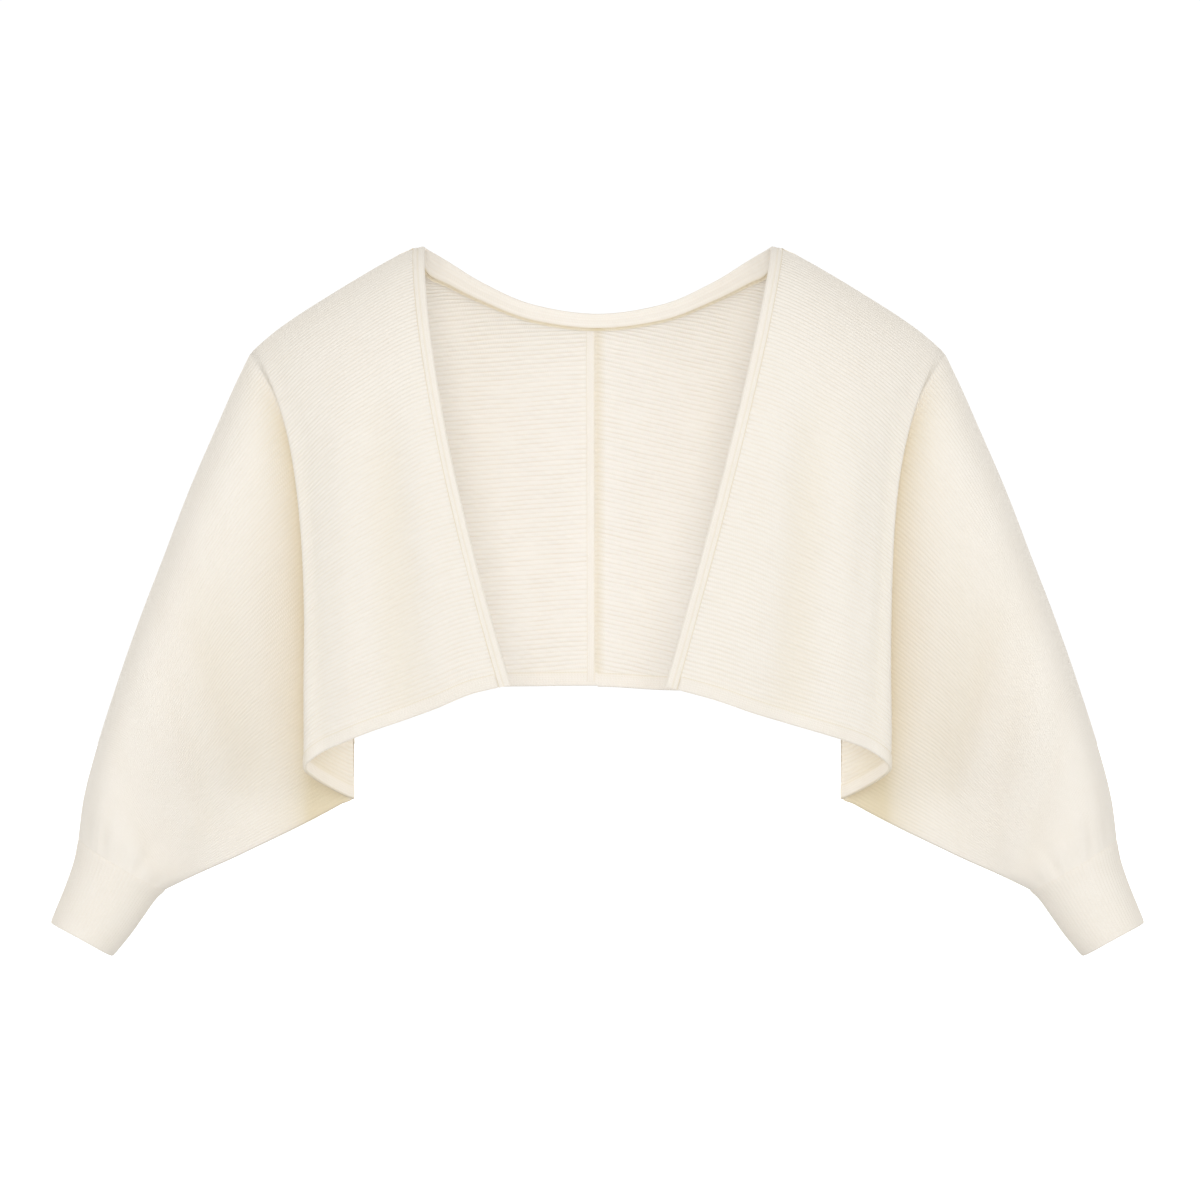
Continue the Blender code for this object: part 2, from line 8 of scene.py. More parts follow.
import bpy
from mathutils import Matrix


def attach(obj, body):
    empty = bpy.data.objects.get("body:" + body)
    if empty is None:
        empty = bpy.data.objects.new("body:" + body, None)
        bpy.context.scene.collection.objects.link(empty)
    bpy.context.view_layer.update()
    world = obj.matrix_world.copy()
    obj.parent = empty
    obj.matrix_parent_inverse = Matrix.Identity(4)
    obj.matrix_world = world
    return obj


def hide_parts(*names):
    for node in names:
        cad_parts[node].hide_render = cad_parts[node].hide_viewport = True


bl_info = {
    "name": "Knitted Shrug",
    "version": (1, 0, 0),
    "blender": (4, 5, 0),
    "location": "3D Viewport > Sidebar > Shrug",
    "description": "Makes the cloth, bands, cuffs and seams of a cropped batwing shrug",
    "category": "Add Mesh",
}

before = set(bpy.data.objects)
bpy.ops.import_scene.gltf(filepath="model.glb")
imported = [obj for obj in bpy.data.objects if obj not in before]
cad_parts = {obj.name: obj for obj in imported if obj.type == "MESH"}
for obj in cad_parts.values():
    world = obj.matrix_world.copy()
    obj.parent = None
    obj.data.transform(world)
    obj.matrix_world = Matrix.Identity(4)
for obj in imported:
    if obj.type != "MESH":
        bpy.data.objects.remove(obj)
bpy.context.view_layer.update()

from collections import namedtuple
from math import pi, radians

import bpy
import numpy as np

MM = 0.001
TINY = 1e-6
BODY = "root"
SIDES = {"right": -1, "left": 1}

# The least that an open low edge stands off the plane between front and back, and the gap
# where they are sewn together
SEAM_LIFT = 2.3
SEAM_GAP = 0.3
# The groove along a seam, and the shade in it
SEAM_DIP = 0.55
SEAM_DIP_REACH = 1.3
SEAM_SHADE = 0.22
SEAM_SHADE_REACH = 1.1
CENTRE_SHADE = 0.3
CENTRE_INNER_SHADE = 0.4
CENTRE_RISE = 0.5
CENTRE_REACH = 1.3
# How far an edge is tucked under the band that covers it
BAND_TUCK = 1.0
HEM_TUCK_UP = 1.5
NECK_TUCK = 1.3
# How much lower the backs of the sleeves hang than their fronts
BACK_DROP = 0.4
# How far past the underarm a panel's low edge comes down to its seam, and how far before it the
# hem band turns from the front to the back
UNDERARM_TURN = 2.4
HEM_TURN = 1.5
# How quickly a section swings out from the shoulder line to the depth of its low edge
ARCH_REACH = 3.0
ARCH_TURN = 0.62
# Signs that mirror a section or a neck station to the other side of the centre back
ACROSS_CENTRE = np.array([-1, 1, 1, -1, 1, 1, 1, 1, 1])
ACROSS_NECK = np.array([-1, 1, 1, -1, 1, 1])

# How steeply the ridges of a back rise to the centre, on the right (-1) and on the left (1)
BACK_RISE = {-1: 0.07, 1: 0.23}
# How far beyond a neck corner they turn to run along the arm, and how many ridges that takes
NECK_TURN = 66
NECK_TURN_RIDGES = {-1: 2, 1: 1}
# Points down each ridge, and the height of a ridge or rib that counts as the cloth's own
RIDGE_POINTS = 4
RIDGE_MIDDLE = 0.6
RIB_FORM = np.array([0.0, 0.7, 1.0, 0.7]) - RIDGE_MIDDLE
# How much lower the ridges are on the arm and near the shoulder line, and how far the material
# calms them on the arm and towards the cuff
ARM_FLATTENING = 0.55
SHOULDER_FLATTENING = 0.28
ARM_CALM = 0.32
CUFF_CALM = 0.4
# The slow sway of the cloth
SWAY = 0.35
# Shade in troughs, in the fold beside the arm and in its crease on the sleeve; the share of it
# on the inner face; and shade under the neck band and on the hem band inside the fold
HOLLOW_SHADE = 0.14
FOLD_SHADE = 0.46
CREASE_SHADE = 0.60
CREASE_SPREAD = 0.10
INNER_SHARE = 0.8
UNDER_BAND_SHADE = 0.75
HEM_FOLD_SHADE = 0.5

# How far apart normals are measured along and down the cloth, and how far they are evened
NORMAL_STEP = 1.0
NORMAL_SLIP = 0.004
EVENING = 7.0

# Bands: widths, and how far beside the front band the hem band starts
FRONT_BAND_WIDTH = 9.6
FRONT_WALE = 2.2
HEM_WALE = 1.8
SEAM_WALE = 1.6
HEM_START = 1.1
# Points across each face of a band and round its free edge, and steps along
FRONT_BAND_POINTS = 17
HEM_POINTS = 8
FREE_EDGE_POINTS = 8
FRONT_STEPS = 190
NECK_STEPS = 96
HEM_STEPS = 300
# The cuff: its rings, how far the wrist edge slides up at front and back, and how far the
# sleeve end is drawn in, cut away and slid into the sleeve
CUFF_RINGS = 26
WRIST_TURN_RINGS = 7
WRIST_SLIDE = 1.8
CUFF_TUCK = 0.35
CUFF_SEAM_CUT = 0.7
CUFF_SEAM_SLIDE = -2.0
# The centre back's allowance: from and to where it lies beside the seam, and rows down it
ALLOWANCE_NEAR = 2.3
ALLOWANCE_FAR = 9.2
ALLOWANCE_ROWS = 180
# Edges that turn more than this are drawn sharp
SHARP_ANGLE = radians(55)


def table(kind, rows):
    """Rows of a table with the named columns of their kind."""
    return [kind(*row) for row in rows]


# A section runs from the shoulder line (top) down to the hem or the underarm seam (low).
# lag bends it sideways, swell is how far the body pushes it out, rounding turns the sleeve's
# slack teardrop into a ring, and columns is how many strips lie before the next section.
Section = namedtuple(
    "Section", "name top_x top_y top_z low_x low_y low_z lag swell rounding columns"
)

RIGHT_FRONT_OPENING = table(Section, [
    ("front_edge", 138, 0, 0, 67.2, -114, -348.5, 0.5, 0, 0, 1),
    ("band_seam", 147.5, 0, -1.8, 76.7, -114.3, -350.5, 0.45, 0, 0, 4),
    ("panel_1", 165, 0, -9.5, 99, -114.5, -356, 0.30, 0, 0, 5),
    ("panel_2", 190, 0, -23.8, 125.5, -114, -367, 0.10, 0, 0, 5),
    ("panel_3", 215, 0, -39, 150.4, -112.5, -376, -0.25, 0, 0, 5),
    ("panel_4", 238, 0, -53.5, 175.4, -110, -384.6, -0.9, 0, 0, 5),
])
LEFT_FRONT_OPENING = table(Section, [
    ("front_edge", 138.6, 0, 0, 52.4, -114, -349.3, 0.15, 0, 0, 1),
    ("band_seam", 148, 0, -2, 62, -114.3, -352.2, 0.14, 0, 0, 4),
    ("panel_1", 165, 0, -9.5, 92, -114.5, -360.5, 0.12, 0, 0, 5),
    ("panel_2", 190, 0, -23.8, 121, -114, -370.5, 0.05, 0, 0, 5),
    ("panel_3", 215, 0, -39, 148, -112.5, -378.6, -0.25, 0, 0, 5),
    ("panel_4", 238, 0, -53.5, 174.5, -110, -386.4, -0.9, 0, 0, 5),
])
FRONT_FOLD = table(Section, [
    ("panel_5", 256, 0, -66, 200, -106, -394.6, -1.8, 0, 0, 5),
    ("fold_1_near", 267, 0, -75, 217.5, -102.5, -402.5, -2.8, 0, 0, 7),
    ("fold_1", 272, 0, -79.5, 229.6, -94, -413.5, -3.4, 4, 0, 7),
    ("fold_1_back", 274, 0, -81.5, 225, -80, -421, -3.0, 11, 0, 8),
    ("reverse", 275.5, 0, -83, 211, -44, -432, -2.3, 27, 0, 8),
    ("fold_2_near", 277, 0, -85, 200.5, -13, -439.2, -2.2, 41, 0, 6),
    ("underarm", 278.5, 0, -87, 196.9, -2.3, -441.5, -2.0, 45, 0, 5),
])
BACK_CENTRE_RIGHT = table(Section, [
    ("centre_back", 0.15, 80.5, -61.1, 0.15, 92, -352.5, 0, 6, 0, 8),
    ("back_1", 54.5, 75.5, -54.3, 50, 93, -353, 0, 6, 0, 5),
    ("back_2", 95, 63, -39.5, 86, 93.5, -354, 0, 5, 0, 4),
])
BACK_CENTRE_LEFT = [
    row._replace(low_z=low_z) for row, low_z in zip(BACK_CENTRE_RIGHT, (-353.4, -356, -357))
]
BACK_FOLD = table(Section, [
    ("back_3", 122, 47, -27.3, 112, 93.5, -358.5, 0, 4, 0, 3),
    ("back_4", 136.5, 30, -20.8, 128, 93, -362, 0, 4, 0, 4),
    ("neck_corner", 147.5, 0, -2, 146, 92, -366, 0, 2, 0, 5),
    ("back_5", 175, 0, -15, 168, 90, -372.5, -0.1, 1, 0, 5),
    ("back_6", 205, 0, -33, 190, 86.5, -381, -0.4, 2, 0, 5),
    ("back_7", 232, 0, -49.7, 208, 81, -391, -1, 4, 0, 5),
    ("fold_1_near", 255, 0, -65.3, 221, 73, -400, -1.8, 7, 0, 6),
    ("fold_1", 266, 0, -74.5, 227.5, 63, -408, -2.4, 12, 0, 6),
    ("fold_1_back", 272, 0, -79.5, 222, 51, -416, -2.4, 19, 0, 6),
    ("reverse", 275.5, 0, -83, 209, 28, -430.5, -2.1, 31, 0, 6),
    ("fold_2_near", 277, 0, -85, 200.5, 10, -439, -2.1, 41.5, 0, 6),
    ("underarm", 278.5, 0, -87, 196.9, 2.3, -442.5, -2.0, 45, 0, 5),
])
# The sleeve's sections, the same for front and back but for the sign of y
SLEEVE = table(Section, [
    ("sleeve_1", 282, 0, -94, 204, 2.3, -445, -1.5, 47, 0, 4),
    ("sleeve_2", 291, 0, -113, 214, 2.3, -450.5, -0.9, 50, 0, 4),
    ("sleeve_3", 305, 0, -145, 230, 2.3, -459, -0.35, 51, 0, 4),
    ("sleeve_4", 325, 0, -191, 250, 2.3, -469, 0, 50, 0, 4),
    ("sleeve_5", 347, 0, -247.5, 272, 2.3, -479.5, 0, 48, 0, 4),
    ("sleeve_6", 368, 0, -303, 293, 2.3, -489.5, 0, 45, 0, 4),
    ("sleeve_7", 387, 0, -358, 312, 2.3, -498, 0, 42.5, 0.08, 5),
    ("sleeve_8", 401.5, 0, -404, 327, 1.4, -505, 0, 40.5, 0.3, 5),
    ("sleeve_9", 411, 0, -441, 338, 0.4, -510.5, 0, 39, 0.7, 4),
    ("cuff_seam", 415.3, 0, -473, 346, 0.15, -514.5, 0, 33, 1, 1),
])

# The neck band behind the shoulders: its free edge and the line where it is sewn on
NeckStation = namedtuple("NeckStation", "edge_x edge_y edge_z seam_x seam_y seam_z")
NECK_BAND = table(NeckStation, [
    (138, 0, 0, 147.5, 0, -1.8),
    (137, 12, -0.3, 143, 16.5, -9.0),
    (133.5, 24, -2.2, 136.5, 30, -20.4),
    (120.5, 42, -9, 122, 47, -26.9),
    (92, 60, -25.3, 95, 63, -39.1),
    (53, 73.5, -41.4, 54.5, 75.5, -53.9),
    (0, 78, -48.8, 0, 80.5, -60.4),
])

# A cuff's rings, from the sleeve seam to the wrist edge; depth is half of its size in y
CuffRing = namedtuple("CuffRing", "outer_x outer_z inner_x inner_z depth")
CUFF = table(CuffRing, [
    (415.5, -473.5, 345.8, -515, 33),
    (418.6, -490, 353.3, -522, 31),
    (424.2, -507, 362.9, -535.4, 29),
    (430.2, -522, 373.6, -550.4, 27.5),
    (437.6, -540, 387.6, -567.4, 26.5),
])

# Soft troughs (depth below 0) and ridges (above 0) that hang in a panel, each along a line in
# x and z. They fade out at about twice their width.
SoftFold = namedtuple("SoftFold", "upper_x upper_z lower_x lower_z width depth")
FRONT_FOLDS = table(SoftFold, [
    (172, -95, 150, -375, 17, -5.0),
    (205, -110, 186, -392, 15, 3.0),
    (150, -90, 118, -330, 14, 2.5),
    (236, -120, 214, -400, 9, -2.0),
    (330, -230, 262, -470, 20, -4.0),
    (362, -320, 318, -480, 14, 3.0),
])
BACK_FOLDS = table(SoftFold, [
    (120, -110, 104, -352, 20, -3.5),
    (178, -95, 160, -372, 17, -5.0),
    (212, -110, 196, -385, 13, 3.0),
    (58, -150, 50, -352, 18, 2.0),
    (330, -240, 258, -470, 22, -4.5),
    (366, -330, 322, -485, 14, 3.0),
])
# Shallow creases of one panel each: uneven in length, depth and spacing
RIGHT_FRONT_CREASES = table(SoftFold, [
    (163, -150, 133, -350, 7, -0.7),
    (196, -205, 178, -395, 6, -0.8),
    (252, -95, 232, -300, 5, -0.9),
    (310, -190, 270, -400, 9, -1.2),
    (352, -265, 300, -480, 8, -1.3),
    (388, -372, 350, -500, 6, -0.9),
    (300, -300, 246, -466, 10, 1.1),
])
LEFT_FRONT_CREASES = table(SoftFold, [
    (158, -130, 112, -345, 8, -0.8),
    (214, -180, 190, -396, 7, -0.7),
    (250, -100, 234, -330, 5, -0.9),
    (300, -170, 262, -430, 9, -1.3),
    (345, -255, 312, -486, 8, -1.1),
    (380, -350, 336, -500, 6, -1.0),
    (318, -330, 280, -474, 9, 1.0),
])
RIGHT_BACK_CREASES = table(SoftFold, [
    (30, -120, 26, -352, 9, -0.8),
    (86, -95, 80, -300, 8, -0.9),
    (150, -120, 140, -366, 9, -1.1),
    (248, -95, 218, -330, 7, -1.2),
    (312, -200, 262, -440, 10, -1.4),
    (352, -280, 306, -480, 8, -1.1),
    (196, -160, 182, -380, 8, 1.0),
])
LEFT_BACK_CREASES = table(SoftFold, [
    (24, -140, 30, -352, 10, -0.7),
    (96, -105, 84, -350, 9, -1.0),
    (158, -110, 150, -320, 8, -0.9),
    (242, -100, 222, -360, 7, -1.1),
    (304, -185, 254, -420, 10, -1.3),
    (360, -300, 322, -486, 8, -1.2),
    (206, -150, 190, -384, 8, 0.9),
])
# Gathers where a sleeve meets its cuff: at is the place down the section, from 0 to 1
Gather = namedtuple("Gather", "at width length depth")
FRONT_GATHERS = table(Gather, [
    (0.12, 0.050, 62, -1.3),
    (0.30, 0.055, 88, -1.9),
    (0.50, 0.060, 70, -1.4),
    (0.70, 0.055, 96, -2.0),
    (0.88, 0.045, 74, -1.4),
])
BACK_GATHERS = table(Gather, [
    (0.10, 0.050, 74, -1.6),
    (0.27, 0.055, 60, -1.3),
    (0.47, 0.060, 92, -2.0),
    (0.68, 0.055, 72, -1.5),
    (0.87, 0.045, 84, -1.7),
])
FINE_GATHERS = table(Gather, [
    (0.21, 0.022, 44, -0.5),
    (0.41, 0.024, 36, -0.45),
    (0.60, 0.024, 48, -0.55),
    (0.79, 0.022, 40, -0.5),
])
# Soft lines along a band: the place from its sewn edge, how wide and how high
Mark = namedtuple("Mark", "at reach rise")
FRONT_OUTER_MARKS = table(Mark, [
    (0.0, 0.7, -0.42),
    (2.2, 0.9, 0.32),
    (4.1, 0.6, -0.26),
    (6.8, 2.0, 0.22),
])
FRONT_INNER_MARKS = table(Mark, [(0.1, 0.45, -0.45), (1.6, 0.8, 0.2), (5.2, 1.3, 0.4)])
HEM_OUTER_MARKS = table(Mark, [(0.3, 0.5, -0.45), (1.9, 0.7, 0.25), (6.5, 2.4, 0.2)])
HEM_INNER_MARKS = table(Mark, [(0.5, 0.8, -0.35), (2.4, 0.7, 0.25), (6.5, 2.4, 0.2)])


def smoothstep(low, high, value):
    """0 below low, 1 above high, and an S-curve between them."""
    share = np.clip((value - low) / (high - low), 0, 1)
    return share * share * (3 - 2 * share)


def bell(distance, reach):
    """1 in the middle, falling to nothing on both sides of it."""
    return np.exp(-((distance / reach) ** 2))


def unit(vectors):
    """Vectors of length 1 with the same directions."""
    return vectors / np.linalg.norm(vectors, axis=-1, keepdims=True)


def lifted(points, normals, heights):
    """Points moved along their normals, each by its own height."""
    return points + normals * heights[..., None]


def spline(knots, rows, places):
    """Smooth curves through the rows, each at its knot, read at many places."""
    last = len(knots) - 2
    here = np.clip(np.searchsorted(knots, places, side="right") - 1, 0, last)
    before, after = np.maximum(here - 1, 0), np.minimum(here + 2, last + 1)
    start, end = rows[here], rows[here + 1]
    width = (knots[here + 1] - knots[here])[:, None]
    leave = (end - rows[before]) / (knots[here + 1] - knots[before])[:, None]
    arrive = (rows[after] - start) / (knots[after] - knots[here])[:, None]
    share = (places - knots[here])[:, None] / width
    return (
        (1 + 2 * share) * (1 - share) ** 2 * start
        + share**2 * (3 - 2 * share) * end
        + share * (1 - share) ** 2 * width * leave
        + share**2 * (share - 1) * width * arrive
    )


def lengths_along(points):
    """How far along each line of points every point lies; lines run along the second axis."""
    steps = np.linalg.norm(np.diff(points, axis=1), axis=2)
    return np.concatenate([np.zeros((len(points), 1)), np.cumsum(steps, axis=1)], axis=1)


class Cloth:
    """One front or back with its half of the sleeve: a surface over sections and depth."""

    def __init__(self, sections, facing, folds, creases, gathers):
        self.names = [section.name for section in sections]
        self.rows = np.array([section[1:10] for section in sections], float)
        self.columns = [section.columns for section in sections]
        self.facing = facing
        self.folds = folds + creases
        self.gathers = gathers + FINE_GATHERS
        moves = np.diff(self.rows[:, :6], axis=0)
        self.knots = np.concatenate([[0], np.cumsum(np.sqrt((moves**2).sum(axis=1)))])
        self.curve_knots, self.curve_rows = self.knots, self.rows
        if self.names[0] == "centre_back":
            beyond = self.rows[1] * ACROSS_CENTRE
            self.curve_rows = np.vstack([beyond, self.rows])
            self.curve_knots = np.concatenate([[-self.knots[1]], self.knots])

    def knot(self, name):
        """Where a named section lies along the cloth."""
        return self.knots[self.names.index(name)]

    def stations(self, first, last):
        """The places along the cloth where columns of knit meet, between two sections."""
        start, end = self.names.index(first), self.names.index(last)
        places = []
        for row in range(start, end):
            places.extend(
                np.linspace(self.knots[row], self.knots[row + 1], self.columns[row], endpoint=False)
            )
        return np.array(places + [self.knots[end]])

    def sections(self, places):
        """The sections' sizes at places along the cloth."""
        rows = spline(self.curve_knots, self.curve_rows, np.asarray(places, float))
        joined = np.minimum(1, 1.5 * np.maximum(rows[:, 8], 0))
        lowest = SEAM_LIFT - (SEAM_LIFT - SEAM_GAP / 2) * joined
        rows[:, 1] = np.maximum(rows[:, 1], 0)
        rows[:, 4] = self.facing * np.maximum(self.facing * rows[:, 4], lowest)
        return rows

    def lengths(self, places):
        """How long the sections are, top to low."""
        rows = self.sections(places)
        return np.linalg.norm(rows[:, 3:6] - rows[:, 0:3], axis=1)

    def bare(self, places, downs):
        """The outer face without folds; downs holds one row of depths for each place."""
        rows = self.sections(places)[:, :, None]
        top, low = rows[:, 0:3], rows[:, 3:6]
        lag, swell, rounding = rows[:, 6], rows[:, 7], rows[:, 8]
        downs = np.clip(downs, 0, 1)
        late = downs ** (1 + np.maximum(lag, 0))
        early = 1 - (1 - downs) ** (1 - np.minimum(lag, 0))
        sway = np.where(lag >= 0, late, early)
        arch = (1 - (1 - downs) ** ARCH_REACH) ** ARCH_TURN
        slack = np.sin(pi * np.sqrt(downs))
        ring = 2 * np.sqrt(downs * (1 - downs))
        out = swell * (slack + (ring - slack) * rounding)
        return np.stack(
            [
                top[:, 0] + (low[:, 0] - top[:, 0]) * sway,
                top[:, 1] + (low[:, 1] - top[:, 1]) * arch + self.facing * out,
                top[:, 2] + (low[:, 2] - top[:, 2]) * downs,
            ],
            axis=2,
        )

    def normals(self, places, downs, evening=EVENING):
        """The directions that face out of the garment, evened along the cloth."""
        places = np.asarray(places, float)
        left = np.maximum(places - NORMAL_STEP, 0)
        right = np.minimum(places + NORMAL_STEP, self.knots[-1])
        up, under = np.maximum(downs - NORMAL_SLIP, 0), np.minimum(downs + NORMAL_SLIP, 1)
        along = self.bare(right, downs) - self.bare(left, downs)
        fall = self.bare(places, under) - self.bare(places, up)
        found = unit(np.cross(along, fall) * self.facing)
        if evening and len(places) > 2:
            apart = places[:, None] - places[None, :]
            share = np.exp(-((apart / evening) ** 2) / 2) * np.gradient(places)[None, :]
            share /= share.sum(axis=1, keepdims=True)
            found = unit(np.einsum("ij,jkl->ikl", share, found))
        return found

    def relief(self, points, places, downs):
        """How far folds, creases and the cuff's gathers lift the cloth."""
        places = np.asarray(places, float)[:, None]
        x, z = points[:, :, 0], points[:, :, 2]
        lift = np.zeros_like(x)
        for fold in self.folds:
            share = (fold.upper_z - z) / (fold.upper_z - fold.lower_z)
            line = fold.upper_x + (fold.lower_x - fold.upper_x) * share
            ends = smoothstep(-0.05, 0.45, share) * (1 - smoothstep(1.0, 1.25, share))
            lift += fold.depth * ends * bell(x - line, fold.width)
        sleeve_1 = self.knot("sleeve_1")
        on_sleeve = smoothstep(self.knot("underarm"), sleeve_1, places)
        lift *= 1 - on_sleeve * smoothstep(0.75, 0.97, downs)
        in_fold = smoothstep(self.knot("fold_1_near"), self.knot("fold_1_back"), places)
        lift *= 1 - in_fold * (1 - smoothstep(sleeve_1, self.knot("sleeve_2"), places))
        from_cuff = self.knots[-1] - places
        for gather in self.gathers:
            fade = np.maximum(0, 1 - from_cuff / gather.length) ** 1.4
            fade = fade * smoothstep(-2, 16, from_cuff)
            lift += gather.depth * fade * bell(downs - gather.at, gather.width)
        return lift

    def draped(self, places, downs, evening=EVENING):
        """The face without folds, its directions, and how far its folds lift it."""
        bare = self.bare(places, downs)
        return bare, self.normals(places, downs, evening), self.relief(bare, places, downs)

    def fold_shade(self, points, places):
        """How shaded a place is in the fold beside the arm, and in its crease on the sleeve."""
        places = np.asarray(places, float)[:, None]
        x, z = points[:, :, 0], points[:, :, 2]
        starts, ends = self.knot("fold_1"), self.knot("underarm")
        share = np.clip((places - starts) / (ends - starts), 0, 1)
        inside = smoothstep(0, 0.22, share) * (1 - 0.75 * smoothstep(0.25, 1, share))
        edge = self.bare([starts], np.linspace(0, 1, 60)[None])[0]
        order = np.argsort(edge[:, 2])
        beyond = np.maximum(x - np.interp(z, edge[order, 2], edge[order, 0]), 0)
        low, high = smoothstep(-290, -390, z), smoothstep(-240, -170, z)
        crease = CREASE_SHADE * np.exp(-beyond / (8 + 3 * low + 1.5 * high))
        crease = (crease + CREASE_SPREAD * bell(beyond, 26)) * (1 + 0.15 * low)
        on_sleeve = crease * smoothstep(ends - 4, ends + 8, places)
        near_cuff = smoothstep(self.knot("sleeve_5"), self.knot("sleeve_4"), places)
        shade = np.where(places < ends, FOLD_SHADE * inside, on_sleeve)
        shade = shade * smoothstep(-84, -150, z) * smoothstep(starts, starts + 6, places)
        return np.clip(shade * np.where(places > ends, near_cuff, 1), 0, 1)

    def even_downs(self, places, ends, count):
        """Depths that cut every section into lengths of cloth that are all the same."""
        reach = np.linspace(0, 1, 161) ** 2
        dense = np.asarray(ends, float)[:, None] * reach[None, :]
        run = lengths_along(self.bare(places, dense))
        shares = np.linspace(0, 1, count + 1)
        downs = [np.interp(shares * run[i, -1], run[i], dense[i]) for i in range(len(places))]
        return np.array(downs), run[:, -1]

    def hem_starts(self, places, band, spare=0.0):
        """How far down the sections their hem band begins."""
        return 1 - (band + spare) / self.lengths(places)


def facing_rows(sections, facing, drop=0.0):
    """The sleeve's rows on one face of the garment, whose seam edge may hang lower."""
    return [
        row._replace(low_y=facing * row.low_y, low_z=row.low_z - drop * (1 - row.rounding))
        for row in sections
    ]


def front_cloth(opening, creases):
    """The front of one half."""
    sections = opening + FRONT_FOLD + facing_rows(SLEEVE, -1)
    return Cloth(sections, -1, FRONT_FOLDS, creases, FRONT_GATHERS)


def back_cloth(centre, creases):
    """The back of one half."""
    sections = centre + BACK_FOLD + facing_rows(SLEEVE, 1, BACK_DROP)
    return Cloth(sections, 1, BACK_FOLDS, creases, BACK_GATHERS)


def cloths():
    """The four panels' surfaces by their pieces' names, with the side that each is on."""
    return {
        "right_front": (front_cloth(RIGHT_FRONT_OPENING, RIGHT_FRONT_CREASES), -1),
        "left_front": (front_cloth(LEFT_FRONT_OPENING, LEFT_FRONT_CREASES), 1),
        "right_back": (back_cloth(BACK_CENTRE_RIGHT, RIGHT_BACK_CREASES), -1),
        "left_back": (back_cloth(BACK_CENTRE_LEFT, LEFT_BACK_CREASES), 1),
    }


def quads(grid):
    """Quads between the neighbours in a grid of point numbers."""
    corners = [grid[:-1, :-1], grid[1:, :-1], grid[1:, 1:], grid[:-1, 1:]]
    return np.stack(corners, axis=-1).reshape(-1, 4)


def mesh_object(name, points, faces, corners, material, shade, relief):
    """A piece from points in millimetres, quads, and the knit map's place of each corner.

    shade deepens the colour in folds and seams. relief says how far the material draws ridges
    that the mesh doesn't hold, and below 0 how far it calms them.
    """
    a, b, c, d = points[faces].transpose(1, 0, 2)
    if (a * (np.cross(b, c) + np.cross(c, d))).sum() < 0:
        faces, corners = faces[:, ::-1], corners[:, ::-1]
    mesh = bpy.data.meshes.new(name)
    mesh.vertices.add(len(points))
    mesh.vertices.foreach_set("co", (points * MM).astype(np.float32).ravel())
    mesh.loops.add(faces.size)
    mesh.loops.foreach_set("vertex_index", faces.astype(np.int32).ravel())
    mesh.polygons.add(len(faces))
    mesh.polygons.foreach_set("loop_start", np.arange(0, faces.size, 4, dtype=np.int32))
    mesh.update(calc_edges=True)
    knit_map = mesh.uv_layers.new(name="knit")
    knit_map.data.foreach_set("uv", corners.astype(np.float32).ravel())
    for label, values in (("shade", shade), ("relief", relief)):
        layer = mesh.attributes.new(label, "FLOAT", "POINT")
        layer.data.foreach_set("value", np.ascontiguousarray(values, dtype=np.float32).ravel())
    mesh.validate()
    mesh.shade_smooth()
    mesh.set_sharp_from_angle(angle=SHARP_ANGLE)
    mesh.materials.append(material)
    item = bpy.data.objects.new(name + "_knit", mesh)
    bpy.context.scene.collection.objects.link(item)
    return item


def finished(item, node):
    """Put a piece in the place of its solid."""
    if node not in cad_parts:
        raise RuntimeError(f"the frame has no node {node}")
    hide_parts(node)
    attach(item, BODY)


def mirrored(points, side):
    """Points of a half put on its side of the garment: 1 is the wearer's left, at +X."""
    return np.asarray(points, float) * (side, 1, 1)


def shell(name, faces_of_cloth, u, v, material, shades, relief):
    """A closed shell of the grids of an outer and an inner face, and the rims between them."""
    along, down = faces_of_cloth[0].shape[:2]
    half = along * down
    grid = np.arange(half).reshape(along, down)
    faces = [quads(grid), quads(grid + half)[:, ::-1]]
    for edge in (grid[:, 0], grid[::-1, -1], grid[0, ::-1], grid[-1]):
        faces.append(quads(np.stack([edge, edge + half])))
    faces = np.concatenate(faces)
    points = np.concatenate([face.reshape(-1, 3) for face in faces_of_cloth])
    places = np.tile(np.stack([np.repeat(u, down), v.ravel()], axis=1), (2, 1))
    both = np.stack(shades), np.stack([relief, relief])
    return mesh_object(name, points, faces, places[faces], material, *both)


def loft(name, rings, u, v, material, shade, closed=False):
    """A closed strip: rings of points, joined along; with ends unless it closes on itself.

    v has one more place than a ring has points, for the seam where the ring meets itself, and
    so does u where the strip closes on itself.
    """
    count, corners = rings.shape[:2]
    grid = np.arange(count * corners).reshape(count, corners)
    faces = quads(np.pad(grid, ((0, int(closed)), (0, 1)), mode="wrap"))
    places = np.stack(np.meshgrid(u, v, indexing="ij"), axis=-1)
    map_grid = np.arange(len(u) * len(v)).reshape(len(u), len(v))
    map_places = places.reshape(-1, 2)[quads(map_grid)]
    if not closed:
        left = np.arange(corners // 2 - 1)
        right = corners - 1 - left
        end = np.stack([left, left + 1, right - 1, right], axis=1)
        for ring, cap in ((0, end), (count - 1, end[:, ::-1])):
            faces = np.concatenate([faces, cap + ring * corners])
            map_places = np.concatenate([map_places, places[ring][cap]])
    shade = np.broadcast_to(shade, (count, corners))
    points = rings.reshape(-1, 3)
    return mesh_object(name, points, faces, map_places, material, shade, np.zeros_like(shade))


def fill(node, values):
    """Set a node's inputs by their names."""
    for label, value in values.items():
        node.inputs[label].default_value = value


# The sockets of a Mix node that hold its two colours and give their mix
MIX_FIRST, MIX_SECOND, MIX_RESULT = 6, 7, 2
